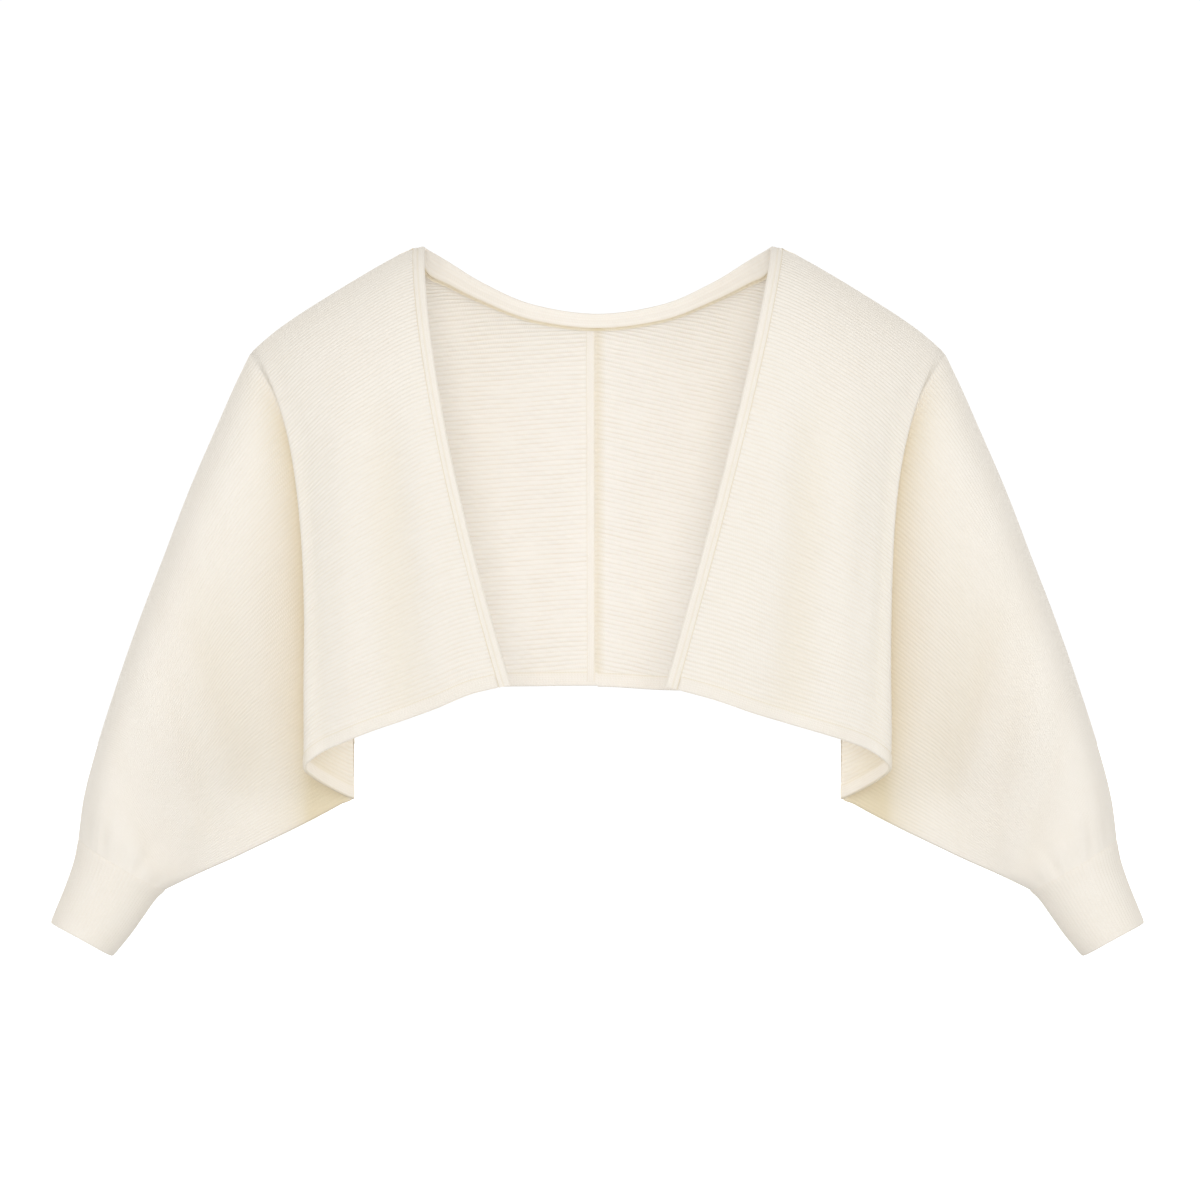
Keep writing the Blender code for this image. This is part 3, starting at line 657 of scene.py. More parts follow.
# A kind of knit: how much its stitches and its ridges show
Knit = namedtuple("Knit", "name stitch_share ridge_share")
KNITS = table(Knit, [
    ("ridged_knit", 0.5, 0.5),
    ("folded_knit", 0.5, 0.22),
    ("smooth_knit", 0.35, 0.16),
])


def knit_material(kind, knit):
    """Matt wool knit: ridges, the loops along them, fibre fuzz and uneven colour, with painted
    shade in the grooves between ridges and, from the shade attribute, painted shade in folds,
    creases and seams.

    The knit map counts stitches one way and ridges the other.
    """
    material = bpy.data.materials.new(kind.name)
    material.use_nodes = True
    nodes, links = material.node_tree.nodes, material.node_tree.links
    shader = nodes["Principled BSDF"]

    def made(node_type, inputs, output=0, **settings):
        """What a new node puts out. Its inputs are values or other nodes' outputs."""
        node = nodes.new("ShaderNode" + node_type)
        for label, value in settings.items():
            setattr(node, label, value)
        for label, value in inputs.items():
            if isinstance(value, bpy.types.NodeSocket):
                links.new(value, node.inputs[label])
            else:
                node.inputs[label].default_value = value
        return node.outputs[output]

    def math(operation, *values):
        return made("Math", dict(enumerate(values)), operation=operation)

    def times(first, second, plus=0.0):
        return math("MULTIPLY_ADD", first, second, plus)

    def attribute(label):
        return made("Attribute", {}, "Fac", attribute_name=label)

    def mixed(share, first, second):
        inputs = {0: share, MIX_FIRST: first, MIX_SECOND: second}
        return made("Mix", inputs, MIX_RESULT, data_type="RGBA")

    def noise(vector, scale, detail, roughness=0.5):
        inputs = {"Vector": vector, "Scale": scale, "Detail": detail, "Roughness": roughness}
        return made("TexNoise", inputs, "Fac")

    def drawn(along, across, detail):
        """Noise drawn out along the ridges."""
        stretched = {0: times(stitches, along), 1: times(ridges, across)}
        return noise(made("CombineXYZ", stretched), 1, detail)

    def waves(value):
        """Rounded crests, one for each whole number."""
        return math("ABSOLUTE", math("SINE", times(value, pi)))

    place = made("TexCoord", {}, "Object")
    knit_map = made("SeparateXYZ", {0: made("UVMap", {}, "UV", uv_map="knit")}).node
    stitches, ridges = knit_map.outputs[0], knit_map.outputs[1]
    wander, fuzz = noise(place, 160, 2), noise(place, 1500, 3, 0.65)
    patches, yarn = noise(place, 42, 4, 0.6), noise(place, 420, 2)
    uneven, bend = drawn(0.07, 0.9, 3), drawn(0.03, 0.16, 1)

    relief = attribute("relief")
    calm = math("MINIMUM", math("ADD", relief, 1), 1)
    drawn_in = math("MAXIMUM", relief, 0)
    ridge = waves(ridges)
    soft_ridge = waves(math("ADD", math("SUBTRACT", bend, 0.5), ridges))
    groove = math("SUBTRACT", 1, math("POWER", times(soft_ridge, 0.5, times(ridge, 0.5)), 0.8))
    groove = times(times(groove, calm), times(uneven, 1.5, 0.1))
    ridge = times(ridge, calm)
    shift = times(wander, 0.5, times(math("FLOOR", ridges), 0.5, stitches))
    loops = times(math("SINE", times(shift, 2 * pi)), ridge)

    drawn_ridge = times(drawn_in, times(uneven, 1.4, 0.3))
    height = times(times(soft_ridge, drawn_ridge), 1.3, times(ridge, kind.ridge_share))
    height = times(groove, -0.9 * kind.ridge_share, height)
    height = times(loops, 0.4 * kind.stitch_share, height)
    height = times(fuzz, 0.5, height)
    bump = {"Strength": knit.bump_strength, "Distance": knit.bump_depth, "Height": height}
    links.new(made("Bump", bump, "Normal"), shader.inputs["Normal"])

    # Painted shade: the tone darkens towards the deep cream in the grooves between ridges, more
    # where only the material draws the ridges, and the whole tone is raised there
    painted_groove_shade = times(drawn_in, -0.5, -1.5 * kind.ridge_share)
    tone = times(groove, painted_groove_shade, 0.35 + 0.4 * kind.ridge_share)
    tone = times(drawn_in, 0.28, tone)
    tone = times(loops, 0.2 * kind.stitch_share, tone)
    for spots, share in ((patches, 0.42), (yarn, 0.20), (fuzz, 0.30)):
        tone = times(spots, share, tone)
    cream = mixed(tone, (*knit.deep, 1), (*knit.light, 1))
    # Painted shade: the shade attribute mixes the cream towards the folded cream in folds, creases,
    # troughs, seams, under the neck band and on the hem band inside the fold
    links.new(mixed(attribute("shade"), cream, (*knit.folded, 1)), shader.inputs["Base Color"])
    links.new(times(fuzz, 0.16, 0.80), shader.inputs["Roughness"])
    fill(shader, {
        "Specular IOR Level": 0.22,
        "Sheen Weight": 0.07,
        "Sheen Roughness": 0.55,
        "Sheen Tint": (1.0, 0.97, 0.92, 1),
    })
    return material


def materials():
    """The three knits by name, made once."""
    knit = bpy.context.scene.shrug_knit
    found = bpy.data.materials
    return {kind.name: found.get(kind.name) or knit_material(kind, knit) for kind in KNITS}


def made_of(context, knit_name):
    """The material, the knit's sizes and the bands' sizes that a piece is made with."""
    return materials()[knit_name], context.scene.shrug_knit, context.scene.shrug_bands


def back_rows(cloth, side, places, bare, lengths, from_low, ridges):
    """A back's rows of knit, counted up from the hem, so that the neck cuts them off."""
    corner = cloth.knot("neck_corner")
    hem = cloth.sections([corner])[0]
    rise = (hem[3] - bare[:, :, 0]) * BACK_RISE[side] + hem[5] - cloth.sections(places)[:, 5:6]
    rise = np.where(places[:, None] < corner, rise, 0)
    at_corner = lengths[np.searchsorted(places, corner - TINY)]
    whole = np.where(places < corner, at_corner, lengths)[:, None]
    turned = 1 - (1 - np.clip((places - corner) / NECK_TURN, 0, 1)) ** 2
    return ridges * (1 - (from_low - rise) / whole) + NECK_TURN_RIDGES[side] * turned[:, None]


def ridge_heights(side, places, phase, pitch, knit):
    """How high each point of each ridge stands: a little uneven along and down the cloth."""
    along = np.sin(places / 9.1 + 2 * side)[:, None]
    down = np.sin(phase * 1.7 + 0.6 * np.sin(phase / 5))[None, :]
    crest = (np.abs(np.sin(pi * phase)) - RIDGE_MIDDLE)[None, :]
    return crest * pitch * knit.ridge_share * (1 + 0.6 * along * down)


def tuck_edges(cloth, is_back, places, bare, outer, inner):
    """Bring the edges of both faces to the seams, or up under the neck band."""
    on_sleeve = places >= cloth.knot("sleeve_1") - TINY
    inner[on_sleeve, -1, 1] = 0
    outer[on_sleeve, -1, 1] *= 0.45
    outer[on_sleeve, -2, 1] *= 0.85
    over_arm = np.abs(bare[:, 0, 1]) < 1
    inner[over_arm, 0, 1] = outer[over_arm, 0, 1] = 0
    if is_back:
        on_neck = places <= cloth.knot("neck_corner")
        outer[on_neck, 0, 2] += NECK_TUCK
        inner[on_neck, 0, 2] += NECK_TUCK
        outer[0, :, 0] = inner[0, :, 0] = 0


def panel(name, cloth, side, material, knit, bands):
    """A front or back with its half sleeve, ridged on both faces, its edges tucked away."""
    is_back = name.endswith("back")
    ridges = knit.back_ridges if is_back else knit.front_ridges
    places = cloth.stations("centre_back" if is_back else "band_seam", "cuff_seam")
    if not is_back:
        places[0] -= BAND_TUCK
    underarm = cloth.knot("underarm")
    held = cloth.hem_starts(np.minimum(places, underarm), bands.hem_width / MM, -HEM_TUCK_UP)
    joined = smoothstep(underarm, underarm + UNDERARM_TURN, places)
    ends = held + (1 - held) * joined
    downs, lengths = cloth.even_downs(places, ends, ridges * RIDGE_POINTS)
    bare, normals, lift = cloth.draped(places, downs)

    phase = np.arange(ridges * RIDGE_POINTS + 1) / RIDGE_POINTS
    pitch = (lengths / ridges)[:, None]
    from_top = phase[None, :] * pitch
    from_low = lengths[:, None] - from_top
    # How far the mesh itself holds the ridges, and which row of knit each point is on
    if is_back:
        corner = cloth.knot("neck_corner")
        made = smoothstep(corner + NECK_TURN / 3, corner + NECK_TURN, places)[:, None]
        rows = back_rows(cloth, side, places, bare, lengths, from_low, ridges)
    else:
        # A front has a shoulder line all along its top
        corner = -1
        made = smoothstep(0, 5, places - cloth.knot("band_seam"))[:, None]
        rows = np.broadcast_to(phase[None, :], bare.shape[:2])
    on_arm = smoothstep(underarm, cloth.knot("sleeve_2"), places)[:, None]
    row = ridge_heights(side, places, phase, pitch, knit)
    row *= smoothstep(0.5, 4, from_top) * smoothstep(0.3, 3, from_low) * made
    row *= 1 - ARM_FLATTENING * on_arm
    row *= 1 - SHOULDER_FLATTENING * (1 - smoothstep(40, 160, from_top))
    on_shoulder = (places > corner)[:, None]
    dip = SEAM_DIP * bell(from_top, SEAM_DIP_REACH) * on_shoulder
    dip += 0.5 * SEAM_DIP * bell(from_low, SEAM_DIP_REACH) * joined[:, None]
    x, z = bare[:, :, 0], bare[:, :, 2]
    sway = SWAY * np.sin(x / 23 + z / 61 + side) * np.sin(z / 37 - x / 71)
    sway *= smoothstep(0, 25, from_top) * smoothstep(0, 25, from_low)
    outer = lifted(bare, normals, lift + row + sway - dip)
    inner = lifted(bare, normals, lift + sway - knit.wall / MM - 0.8 * row)

    shade = cloth.fold_shade(bare, places) + HOLLOW_SHADE * np.clip(-lift / 5, 0, 1)
    outer_shade = shade + SEAM_SHADE * bell(from_top, SEAM_SHADE_REACH) * on_shoulder
    inner_shade = INNER_SHARE * shade
    if is_back:
        centre = bell(x, CENTRE_REACH)
        inner = lifted(inner, normals, CENTRE_RISE * centre)
        outer_shade += CENTRE_SHADE * centre
        inner_shade += UNDER_BAND_SHADE * bell(from_top - 0.2, 0.8) * (1 - on_shoulder)
        inner_shade += CENTRE_INNER_SHADE * centre
    shades = np.clip(outer_shade, 0, 1), np.clip(inner_shade, 0, 1)
    tuck_edges(cloth, is_back, places, bare, outer, inner)
    to_cuff = smoothstep(cloth.knot("sleeve_6"), cloth.knot("cuff_seam"), places)[:, None]
    relief = np.broadcast_to(1 - made - ARM_CALM * on_arm - CUFF_CALM * to_cuff, row.shape)
    both = mirrored(outer, side), mirrored(inner, side)
    return shell(name, both, places / (knit.stitch / MM), rows, material, shades, relief)


def band_profile(width, wall, proud, outer_marks, inner_marks, steps):
    """Points round a folded band: how far across, how high and how shaded.

    Its free edge is round, and its marks are the soft lines that run along each face.
    """
    across = np.linspace(0, width - wall / 2, steps)
    outer, inner = (
        sum(mark.rise * bell(across - mark.at, mark.reach) for mark in marks)
        for marks in (outer_marks, inner_marks)
    )
    turn = np.linspace(pi / 2, -pi / 2, FREE_EDGE_POINTS + 2)[1:-1]
    edge_across = width - wall / 2 + np.cos(turn) * wall / 2
    edge_height = proud - wall / 2 + np.sin(turn) * wall / 2
    heights = np.concatenate([outer, np.zeros(FREE_EDGE_POINTS), inner[::-1]])
    return (
        np.concatenate([across, edge_across, across[::-1]]),
        np.concatenate([proud + outer, edge_height, proud - wall - inner[::-1]]),
        np.clip(-1.5 * heights, 0, 1),
    )


def band_rings(edges, seams, normals, profile):
    """Rings of a band from its free and sewn edges, its facing and its profile."""
    far, high, _ = profile
    widths = np.linalg.norm(edges - seams, axis=1)
    across = (edges - seams) / widths[:, None]
    far = (far[None, :] * (widths / far.max())[:, None])[:, :, None]
    return seams[:, None] + across[:, None] * far + normals[:, None] * high[None, :, None]


def ring_map(rings, stitch, wale):
    """The knit map's places of a band: stitches along it, and wales round it."""
    u = lengths_along(rings[:, :1].transpose(1, 0, 2))[0] / stitch
    ring = np.concatenate([rings, rings[:, :1]], axis=1)
    v = lengths_along(ring)[len(rings) // 2] / wale
    return u, v


def front_band_half(cloth):
    """Free edge, sewn edge and facing of the band up one front, from hem to neck corner."""
    edge_place, seam_place = cloth.knot("front_edge"), cloth.knot("band_seam")
    places = np.array([edge_place, (edge_place + seam_place) / 2, seam_place])
    downs, _ = cloth.even_downs(places, np.ones(3), FRONT_STEPS)
    downs = np.repeat(downs[1:2, :0:-1], 3, axis=0)
    bare, normals, lift = cloth.draped(places, downs, evening=0)
    points = lifted(bare, normals, lift)
    return points[0], points[2], normals[1]


def neck_band_half():
    """The same for the band from a neck corner to the centre back."""
    table_rows = np.array(NECK_BAND, float)
    table_rows = np.vstack([table_rows, table_rows[-2] * ACROSS_NECK])
    knots = np.arange(len(table_rows), dtype=float)
    places = np.linspace(0, knots[-2], NECK_STEPS + 1)
    here, ahead = (spline(knots, table_rows, places + step) for step in (0, 0.05))
    edges, seams = here[:, :3], here[:, 3:]
    return edges, seams, unit(np.cross((ahead - here)[:, 3:], edges - seams))


def front_band(name, right, left, material, knit, bands):
    """One long band: up the right front, round the back of the neck, down the left."""
    halves = []
    for cloth, side in ((right, -1), (left, 1)):
        pairs = zip(front_band_half(cloth), neck_band_half())
        halves.append([mirrored(np.concatenate(pair), side) for pair in pairs])
    edges, seams, normals = (np.concatenate([a, b[-2::-1]]) for a, b in zip(*halves))
    for _ in range(3):
        normals[1:-1] = (normals[:-2] + 2 * normals[1:-1] + normals[2:]) / 4
    wall, proud = bands.wall / MM, bands.proud / MM
    profile = band_profile(
        FRONT_BAND_WIDTH, wall, proud, FRONT_OUTER_MARKS, FRONT_INNER_MARKS, FRONT_BAND_POINTS
    )
    rings = band_rings(edges, seams, unit(normals), profile)
    u, v = ring_map(rings, knit.stitch / MM, FRONT_WALE)
    return loft(name, rings, u, v, material, profile[2])


def hem_lines(cloth, places, bands):
    """Free edge, sewn edge and facing of the hem band, and where it hides in the fold."""
    held = np.minimum(places, cloth.knot("underarm") - HEM_TURN)
    starts = cloth.hem_starts(held, bands.hem_width / MM)[:, None]
    downs = np.concatenate([starts, (1 + starts) / 2, np.ones_like(starts)], axis=1)
    bare, normals, lift = cloth.draped(held, downs, evening=0)
    points = lifted(bare, normals, lift)
    hidden = smoothstep(cloth.knot("fold_1_near"), cloth.knot("fold_1_back"), places)
    return points[:, 2], points[:, 0], normals[:, 1], hidden


def hem_band(name, front, back, side, material, knit, bands):
    """The hem of one half: from the front band, round the underarm, to the centre back."""
    front_turn, back_turn = (cloth.knot("underarm") - HEM_TURN for cloth in (front, back))
    front_start = front.knot("band_seam") + HEM_START
    front_places = np.linspace(front_start, front_turn, HEM_STEPS)
    back_places = np.linspace(back_turn, back.knot("centre_back"), HEM_STEPS)
    pairs = zip(hem_lines(front, front_places, bands), hem_lines(back, back_places, bands))
    edges, seams, normals, hidden = (np.concatenate(pair) for pair in pairs)
    edges[-1, 0] = seams[-1, 0] = 0
    width, wall, proud = bands.hem_width / MM, bands.hem_wall / MM, bands.hem_proud / MM
    profile = band_profile(width, wall, proud, HEM_OUTER_MARKS, HEM_INNER_MARKS, HEM_POINTS)
    rings = band_rings(edges, seams, normals, profile)

    run = lengths_along(rings.mean(axis=1)[None])[0]
    ribs = round(run[-1] / (bands.hem_rib / MM))
    steps = np.linspace(0, run[-1], len(RIB_FORM) * ribs + 1)
    flat = rings.reshape(len(rings), -1).T
    even = np.stack([np.interp(steps, run, line) for line in flat], axis=1)
    even = even.reshape(len(steps), -1, 3)
    facing = normals[np.interp(steps, run, np.arange(len(run))).round().astype(int)]
    away = np.sign(np.einsum("ijk,ik->ij", even - even.mean(axis=1, keepdims=True), facing))
    heights = RIB_FORM[np.arange(len(steps)) % len(RIB_FORM)] * bands.hem_rib_height / MM
    even = lifted(even, facing[:, None], away * heights[:, None])
    u, v = ring_map(even, knit.stitch / MM, HEM_WALE)
    not_inner = np.arange(rings.shape[1]) < HEM_POINTS + FREE_EDGE_POINTS
    hidden = np.interp(steps, run, hidden)[:, None] * not_inner
    shade = np.clip(profile[2] + HEM_FOLD_SHADE * hidden, 0, 1)
    return loft(name, mirrored(even, side), u, v, material, shade)


def cuff(name, side, material, knit, bands):
    """A knitted tube that narrows to the wrist, with fine ribs and a rounded wrist edge."""
    rows = np.array(CUFF, float)
    knots = np.arange(len(rows), dtype=float)
    wall = bands.cuff_wall / MM
    around = bands.cuff_ribs * len(RIB_FORM)
    angles = np.arange(around)[:, None] * 2 * pi / around
    places = np.linspace(0, knots[-1], CUFF_RINGS)
    rows = spline(knots, rows, places)
    outer, inner = (np.insert(rows[:, at : at + 2], 1, 0, axis=1) for at in (0, 2))
    middle, half = (outer + inner) / 2, (outer - inner) / 2
    reach = np.linalg.norm(half, axis=1)
    across, fall = unit(half), unit(np.gradient(middle, axis=0))
    ribs = np.tile(RIB_FORM, bands.cuff_ribs)[:, None]
    share = places / knots[-1]
    rib_height = bands.cuff_rib_height / MM * smoothstep(-0.2, 0.3, share)

    def ring(i, cut, slide=0.0, ribbed=1.0):
        """The ring at a place, cut inside the outer face and slid along the cuff."""
        size = ribs * rib_height[i] * ribbed - cut
        far = (reach[i] + size) * np.cos(angles) * across[i]
        deep = (rows[i, 4] + size) * np.sin(angles) * np.array([0.0, 1.0, 0.0])
        slide = slide - WRIST_SLIDE * share[i] ** 2 * np.sin(angles) ** 2
        return middle[i] + far + deep + fall[i] * slide

    tuck = smoothstep(0.06, 0.0, share) * CUFF_TUCK
    last = len(places) - 1
    rings = [ring(0, CUFF_SEAM_CUT, CUFF_SEAM_SLIDE)]
    rings += [ring(i, tuck[i]) for i in range(last)]
    for turn in np.linspace(0, pi, WRIST_TURN_RINGS):
        cut, slide = wall / 2 * (1 - np.cos(turn)), wall / 2 * (np.sin(turn) - 1)
        rings.append(ring(last, cut, slide, 0.6))
    rings += [ring(i, wall, 0.0, -0.5) for i in range(last - 1, -1, -1)]
    rings = np.array(rings + [ring(0, wall, CUFF_SEAM_SLIDE, 0.0)])
    run = lengths_along(np.concatenate([rings, rings[:1]])[:, :1].transpose(1, 0, 2))[0]
    u, v = run / (knit.stitch / MM), np.arange(around + 1) / len(RIB_FORM)
    return loft(name, mirrored(rings, side), u, v, material, 0.0, closed=True)


def centre_back_seam(name, cloth, side, material, knit, bands):
    """The seam's allowance, pressed to one side inside the back, with its edge overcast."""
    scale = cloth.knot("back_1") / cloth.sections([cloth.knot("back_1")])[0, 0]
    shares = np.array([0, 0.18, 0.5, 0.84, 1])
    places = scale * (ALLOWANCE_NEAR + shares * (ALLOWANCE_FAR - ALLOWANCE_NEAR))
    down = np.linspace(0, 1, ALLOWANCE_ROWS) ** 1.25 * 0.985 + 0.001
    downs = np.repeat(down[None], len(places), axis=0)
    bare, normals, lift = cloth.draped(places, downs, evening=0)
    whole = cloth.lengths([0.0])[0]
    from_top = downs[:1] * whole
    start = cloth.hem_starts([0.0], bands.hem_width / MM)[0] * whole
    thick = 0.35 + 0.65 * smoothstep(0, 7, from_top)
    lie = knit.wall / MM - 0.05 + 0.4 * smoothstep(-6, 2, from_top - start)
    rise = np.array([-0.25, 0.2, 0.05, 0.25, -0.3])[:, None] * thick
    overcast = 0.08 * np.sin(np.arange(ALLOWANCE_ROWS) * pi / 2)
    under = lifted(bare, normals, lift - lie)
    over = lifted(bare, normals, lift - lie - thick - rise + overcast)
    rings = np.concatenate([under, over[::-1]]).transpose(1, 0, 2)
    u, v = ring_map(rings, knit.stitch / MM, SEAM_WALE)
    shade = np.array([0.3, 0.2, 0, 0.2, 0.35, 0.2, 0, 0, 0, 0.3])
    return loft(name, mirrored(rings, side), u, v, material, shade)


def amount(name, description, default, low, high, **kind):
    """A number that a user may change, with its unit or subtype where one fits."""
    return bpy.props.FloatProperty(
        name=name, description=description, default=default, min=low, max=high, **kind
    )


def length(*given):
    """The same as a length in metres."""
    return amount(*given, unit="LENGTH")


def count(name, description, default, low, high):
    """A whole number that a user may change."""
    return bpy.props.IntProperty(
        name=name, description=description, default=default, min=low, max=high
    )


def colour(name, description, default):
    """A colour that a user may change."""
    return bpy.props.FloatVectorProperty(
        name=name, description=description, default=default, size=3, subtype="COLOR"
    )


class ShrugKnit(bpy.types.PropertyGroup):
    """Sizes and colours of the knit."""

    wall: length("Wall", "Thickness of the cloth", 0.002, 0.001, 0.003)
    front_ridges: count("Front ridges", "Ridges from shoulder to hem on a front", 110, 20, 110)
    back_ridges: count("Back ridges", "Ridges from neck to hem on a back", 100, 20, 100)
    ridge_share: amount("Ridge height", "Height of a ridge as a share of its pitch", 0.07, 0, 0.2)
    stitch: length("Stitch", "Length of a stitch along its ridge", 0.0021, 0.001, 0.006)
    bump_strength: amount(
        "Stitch relief", "How strongly loops and fibres show", 0.6, 0, 1, subtype="FACTOR"
    )
    bump_depth: length("Stitch depth", "Depth of the loops and fibres", 0.0004, 0, 0.002)
    # Light and deep cream are the ends of the knit's tone: it varies at random between them, and
    # painted shade in the grooves between ridges darkens it towards the deep cream
    light: colour("Light cream", "Colour of the crests of the knit", (0.968, 0.906, 0.806))
    deep: colour("Deep cream", "Colour between the loops", (0.905, 0.812, 0.672))
    # The folded cream is the colour of painted shade in folds, creases, troughs and seams
    folded: colour("Folded cream", "Colour deep in folds and seams", (0.790, 0.672, 0.440))


class ShrugBands(bpy.types.PropertyGroup):
    """Sizes of the bands and cuffs."""

    wall: length("Band wall", "Thickness of the folded front band", 0.0032, 0.002, 0.004)
    proud: length("Band stand", "How far the front band stands out of the panel", 0.0006, 0, 0.002)
    hem_width: length("Hem width", "Width of the hem band", 0.0115, 0.006, 0.03)
    hem_wall: length("Hem wall", "Thickness of the hem band", 0.0028, 0.002, 0.004)
    hem_proud: length("Hem stand", "How far the hem band stands out of the panel", 0.0004, 0, 0.002)
    hem_rib: length("Hem rib", "Width of a rib of the hem band", 0.0024, 0.001, 0.01)
    hem_rib_height: length("Hem rib height", "Height of a rib of the hem band", 0.00016, 0, 0.001)
    cuff_wall: length("Cuff wall", "Thickness of a cuff", 0.0024, 0.001, 0.004)
    cuff_ribs: count("Cuff ribs", "Fine ribs round a cuff", 72, 12, 120)
    cuff_rib_height: length("Cuff rib height", "Height of a rib of the cuff", 0.00014, 0, 0.001)


class ShrugStage(bpy.types.PropertyGroup):
    """The floor, the light and the camera."""

    floor: length("Floor", "Height of the floor", -0.80, -3, -0.6)
    distance: length("Camera distance", "From the camera to the origin's plane", 4.0, 1, 12)
    lens: amount("Lens", "Focal length in millimetres", 150, 20, 400)
    sky: amount("Sky", "Strength of the light from all round", 0.53, 0, 3)
    key: amount("Front light", "Strength of the soft light in front", 1.36, 0, 20)
    floor_glow: amount("Floor glow", "How much the floor is brightened", 1.0, 0, 2)
    inside: amount(
        "Inside light", "Power of the small soft lights in the hollow", 0.114, 0, 5, unit="POWER"
    )
    light_colour: colour("Light colour", "Colour of the soft lights", (0.935, 0.958, 1.0))
    inside_colour: colour("Inside colour", "Colour of the lights in the hollow", (0.68, 0.785, 1.0))
    fold_colour: colour("Fold colour", "Colour of the lights by the folds", (1.0, 0.95, 0.85))
    pale: colour("Floor colour", "Colour of the floor", (0.92, 0.92, 0.92))


# Broad lights from far away: where each comes from, how wide it spreads, and its share of the
# key's strength. Angles are in degrees, round from the front and up from the floor.
Sun = namedtuple("Sun", "name around above spread share")
SUNS = table(Sun, [
    ("front_light", 0, 4, 16, 0.64),
    ("front_left_light", -50, 10, 40, 0.215),
    ("front_right_light", 50, 10, 40, 0.215),
    ("top_light", 0, 56, 36, 0.22),
    ("low_light", 0, -38, 50, 0.16),
    ("back_left_light", -150, 14, 30, 0.50),
    ("back_right_light", 150, 14, 30, 0.50),
])
# Small soft lights in the hollow: size and place in metres, colour by its property, and the
# share of their power
SoftLight = namedtuple("SoftLight", "name width height place around colour share")
SOFT_LIGHTS = table(SoftLight, [
    ("inside_light", 0.10, 0.30, (-0.005, -0.095, -0.235), 0, "inside_colour", 1.0),
    ("right_fold_light", 0.10, 0.05, (-0.06, -0.06, -0.412), 90, "fold_colour", 0.36),
    ("left_fold_light", 0.10, 0.05, (0.06, -0.06, -0.412), -90, "fold_colour", 0.36),
])
FLOOR_RADIUS = 14
BACKDROP = 1.04
WHITE = (1, 1, 1, 1)
SENSOR_WIDTH = 36
CAMERA_X, CAMERA_Z = 0.002, -0.2824


def ground(stage):
    """A pale floor that glows a little."""
    bpy.ops.object.select_all(action="DESELECT")
    bpy.ops.mesh.primitive_circle_add(
        vertices=96, radius=FLOOR_RADIUS, fill_type="NGON", location=(0, 0, stage.floor)
    )
    floor = bpy.context.active_object
    floor.name = "floor"
    pale = bpy.data.materials.new("pale_floor")
    pale.use_nodes = True
    fill(pale.node_tree.nodes["Principled BSDF"], {
        "Base Color": (*stage.pale, 1),
        "Roughness": 0.95,
        "Specular IOR Level": 0.1,
        "Emission Color": (*stage.pale, 1),
        "Emission Strength": stage.floor_glow,
    })
    floor.data.materials.append(pale)
    floor.visible_diffuse = False


def studio(stage):
    """Soft light from all round, before a bright backdrop that only the camera sees."""
    world = bpy.data.worlds.new("studio")
    world.use_nodes = True
    nodes, links = world.node_tree.nodes, world.node_tree.links
    sky, backdrop = nodes["Background"], nodes.new("ShaderNodeBackground")
    fill(sky, {"Color": WHITE, "Strength": stage.sky})
    fill(backdrop, {"Color": WHITE, "Strength": BACKDROP})
    seen, both = nodes.new("ShaderNodeLightPath"), nodes.new("ShaderNodeMixShader")
    links.new(seen.outputs["Is Camera Ray"], both.inputs[0])
    links.new(sky.outputs[0], both.inputs[1])
    links.new(backdrop.outputs[0], both.inputs[2])
    links.new(both.outputs[0], nodes["World Output"].inputs["Surface"])
    bpy.context.scene.world = world


def placed(name, data, place, above, around):
    """A light or camera in the scene, tilted down from above and turned round the garment."""
    item = bpy.data.objects.new(name, data)
    bpy.context.scene.collection.objects.link(item)
    item.location = place
    item.rotation_euler = (radians(90 - above), 0, radians(around))
    return item


def lights(stage):
    """The broad lights, and the small ones in the hollow."""
    for sun in SUNS:
        lamp = bpy.data.lights.new(sun.name, "SUN")
        lamp.angle = radians(sun.spread)
        lamp.energy = stage.key * sun.share
        lamp.color = stage.light_colour
        placed(sun.name, lamp, (0, 0, 0), sun.above, sun.around)
    for light in SOFT_LIGHTS:
        lamp = bpy.data.lights.new(light.name, "AREA")
        lamp.shape = "RECTANGLE"
        lamp.size, lamp.size_y = light.width, light.height
        lamp.energy = stage.inside * light.share
        lamp.color = getattr(stage, light.colour)
        placed(light.name, lamp, light.place, 0, light.around).visible_camera = False


def camera(stage):
    """The camera straight in front."""
    lens = bpy.data.cameras.new("camera")
    lens.lens = stage.lens
    lens.sensor_width = SENSOR_WIDTH
    lens.dof.use_dof = False
    scene = bpy.context.scene
    scene.camera = placed("camera", lens, (CAMERA_X, -stage.distance, CAMERA_Z), 0, 0)
    scene.view_settings.view_transform = "Standard"


class SHRUG_OT_stage(bpy.types.Operator):
    """Make the pale floor, the soft studio light and the camera"""

    bl_idname = "shrug.stage"
    bl_label = "Stage"

    def execute(self, context):
        for make in (ground, studio, lights, camera):
            make(context.scene.shrug_stage)
        return {"FINISHED"}


class SHRUG_OT_panels(bpy.types.Operator):
    """Make both fronts and both backs, each with its half sleeve"""

    bl_idname = "shrug.panels"
    bl_label = "Fronts and backs"

    def execute(self, context):
        for name, (cloth, side) in cloths().items():
            item = panel(name, cloth, side, *made_of(context, "ridged_knit"))
            finished(item, name)
        return {"FINISHED"}


class SHRUG_OT_front_band(bpy.types.Operator):
    """Make the band along both fronts and round the neck"""

    bl_idname = "shrug.front_band"
    bl_label = "Front and neck band"

    def execute(self, context):
        right, left = (cloths()[half + "_front"][0] for half in SIDES)
        item = front_band("front_band", right, left, *made_of(context, "folded_knit"))
        finished(item, "front_band")
        return {"FINISHED"}


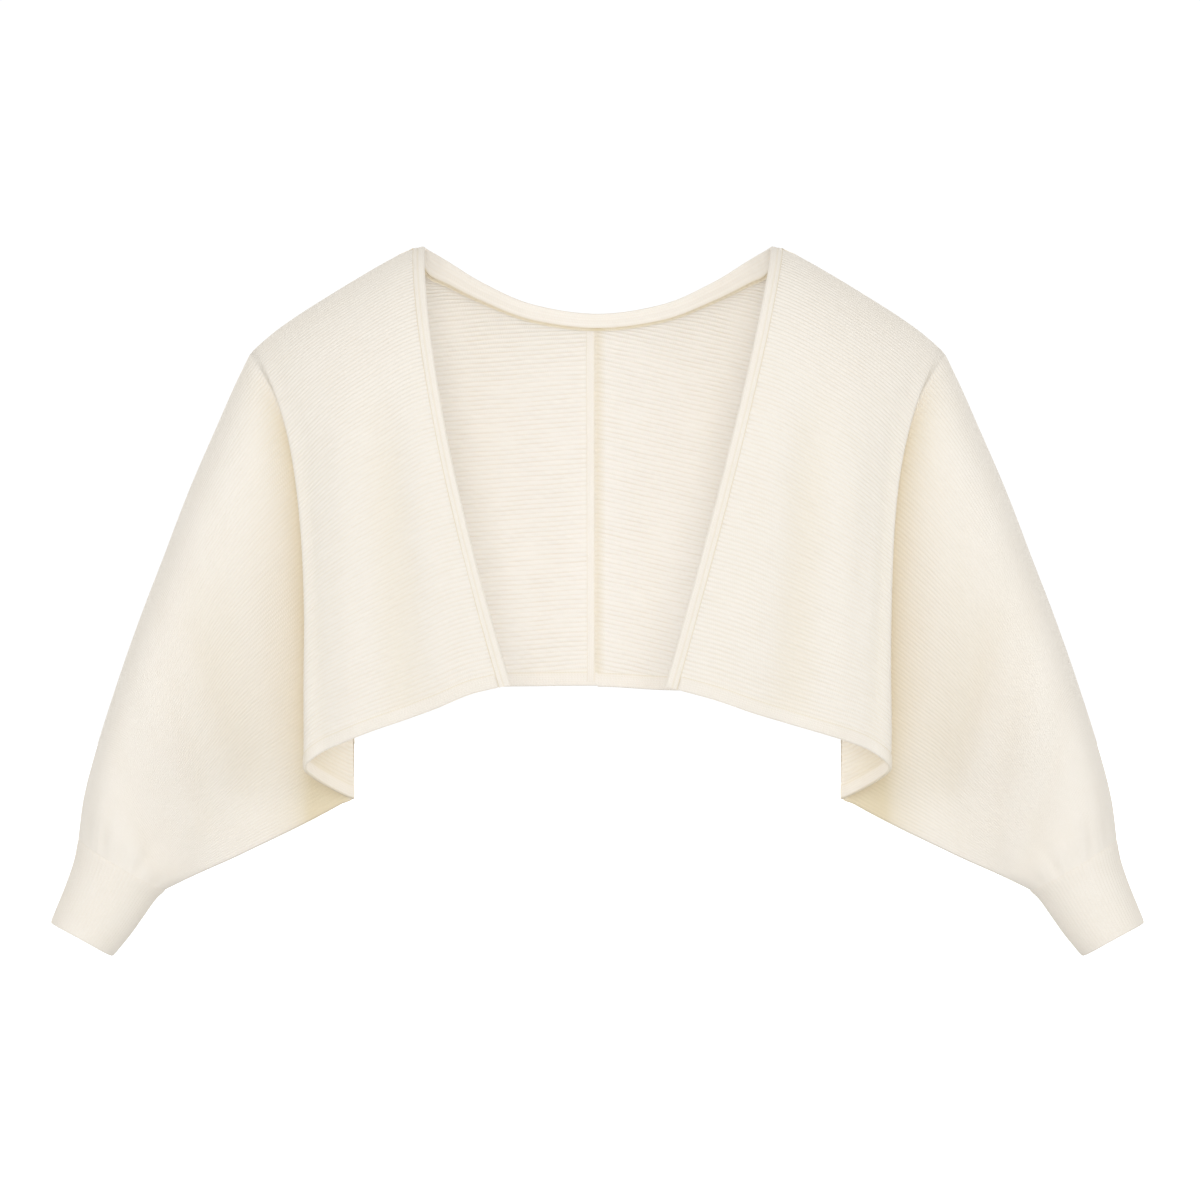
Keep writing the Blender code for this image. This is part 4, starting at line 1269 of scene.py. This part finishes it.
class SHRUG_OT_hem_bands(bpy.types.Operator):
    """Make the hem band of each half"""

    bl_idname = "shrug.hem_bands"
    bl_label = "Hem bands"

    def execute(self, context):
        for half, side in SIDES.items():
            name = half + "_hem_band"
            front, back = (cloths()[half + part][0] for part in ("_front", "_back"))
            item = hem_band(name, front, back, side, *made_of(context, "folded_knit"))
            finished(item, name)
        return {"FINISHED"}


class SHRUG_OT_cuffs(bpy.types.Operator):
    """Make both cuffs"""

    bl_idname = "shrug.cuffs"
    bl_label = "Cuffs"

    def execute(self, context):
        for half, side in SIDES.items():
            name = half + "_cuff"
            item = cuff(name, side, *made_of(context, "smooth_knit"))
            finished(item, name)
        return {"FINISHED"}


class SHRUG_OT_centre_back_seam(bpy.types.Operator):
    """Make the allowance of the centre back seam"""

    bl_idname = "shrug.centre_back_seam"
    bl_label = "Centre back seam"

    def execute(self, context):
        name = "centre_back_seam"
        item = centre_back_seam(name, *cloths()["right_back"], *made_of(context, "folded_knit"))
        finished(item, name)
        return {"FINISHED"}


class SHRUG_PT_panel(bpy.types.Panel):
    """The shrug's pieces and sizes"""

    bl_idname = "SHRUG_PT_panel"
    bl_label = "Knitted Shrug"
    bl_space_type = "VIEW_3D"
    bl_region_type = "UI"
    bl_category = "Shrug"

    def draw(self, context):
        for group in (getattr(context.scene, name) for name in GROUPS):
            box = self.layout.box()
            for name in group.__annotations__:
                box.prop(group, name)
        for operator in OPERATORS:
            self.layout.operator(operator.bl_idname)


OPERATORS = (
    SHRUG_OT_stage,
    SHRUG_OT_panels,
    SHRUG_OT_front_band,
    SHRUG_OT_hem_bands,
    SHRUG_OT_cuffs,
    SHRUG_OT_centre_back_seam,
)
GROUPS = {"shrug_knit": ShrugKnit, "shrug_bands": ShrugBands, "shrug_stage": ShrugStage}


def register():
    for name, group in GROUPS.items():
        bpy.utils.register_class(group)
        setattr(bpy.types.Scene, name, bpy.props.PointerProperty(type=group))
    for cls in (*OPERATORS, SHRUG_PT_panel):
        bpy.utils.register_class(cls)


def unregister():
    for cls in (SHRUG_PT_panel, *reversed(OPERATORS)):
        bpy.utils.unregister_class(cls)
    for name, group in GROUPS.items():
        delattr(bpy.types.Scene, name)
        bpy.utils.unregister_class(group)


def main():
    """Make the whole shrug."""
    register()
    bpy.ops.shrug.stage()
    bpy.ops.shrug.panels()
    bpy.ops.shrug.front_band()
    bpy.ops.shrug.hem_bands()
    bpy.ops.shrug.cuffs()
    bpy.ops.shrug.centre_back_seam()


if __name__ == "__main__":
    main()
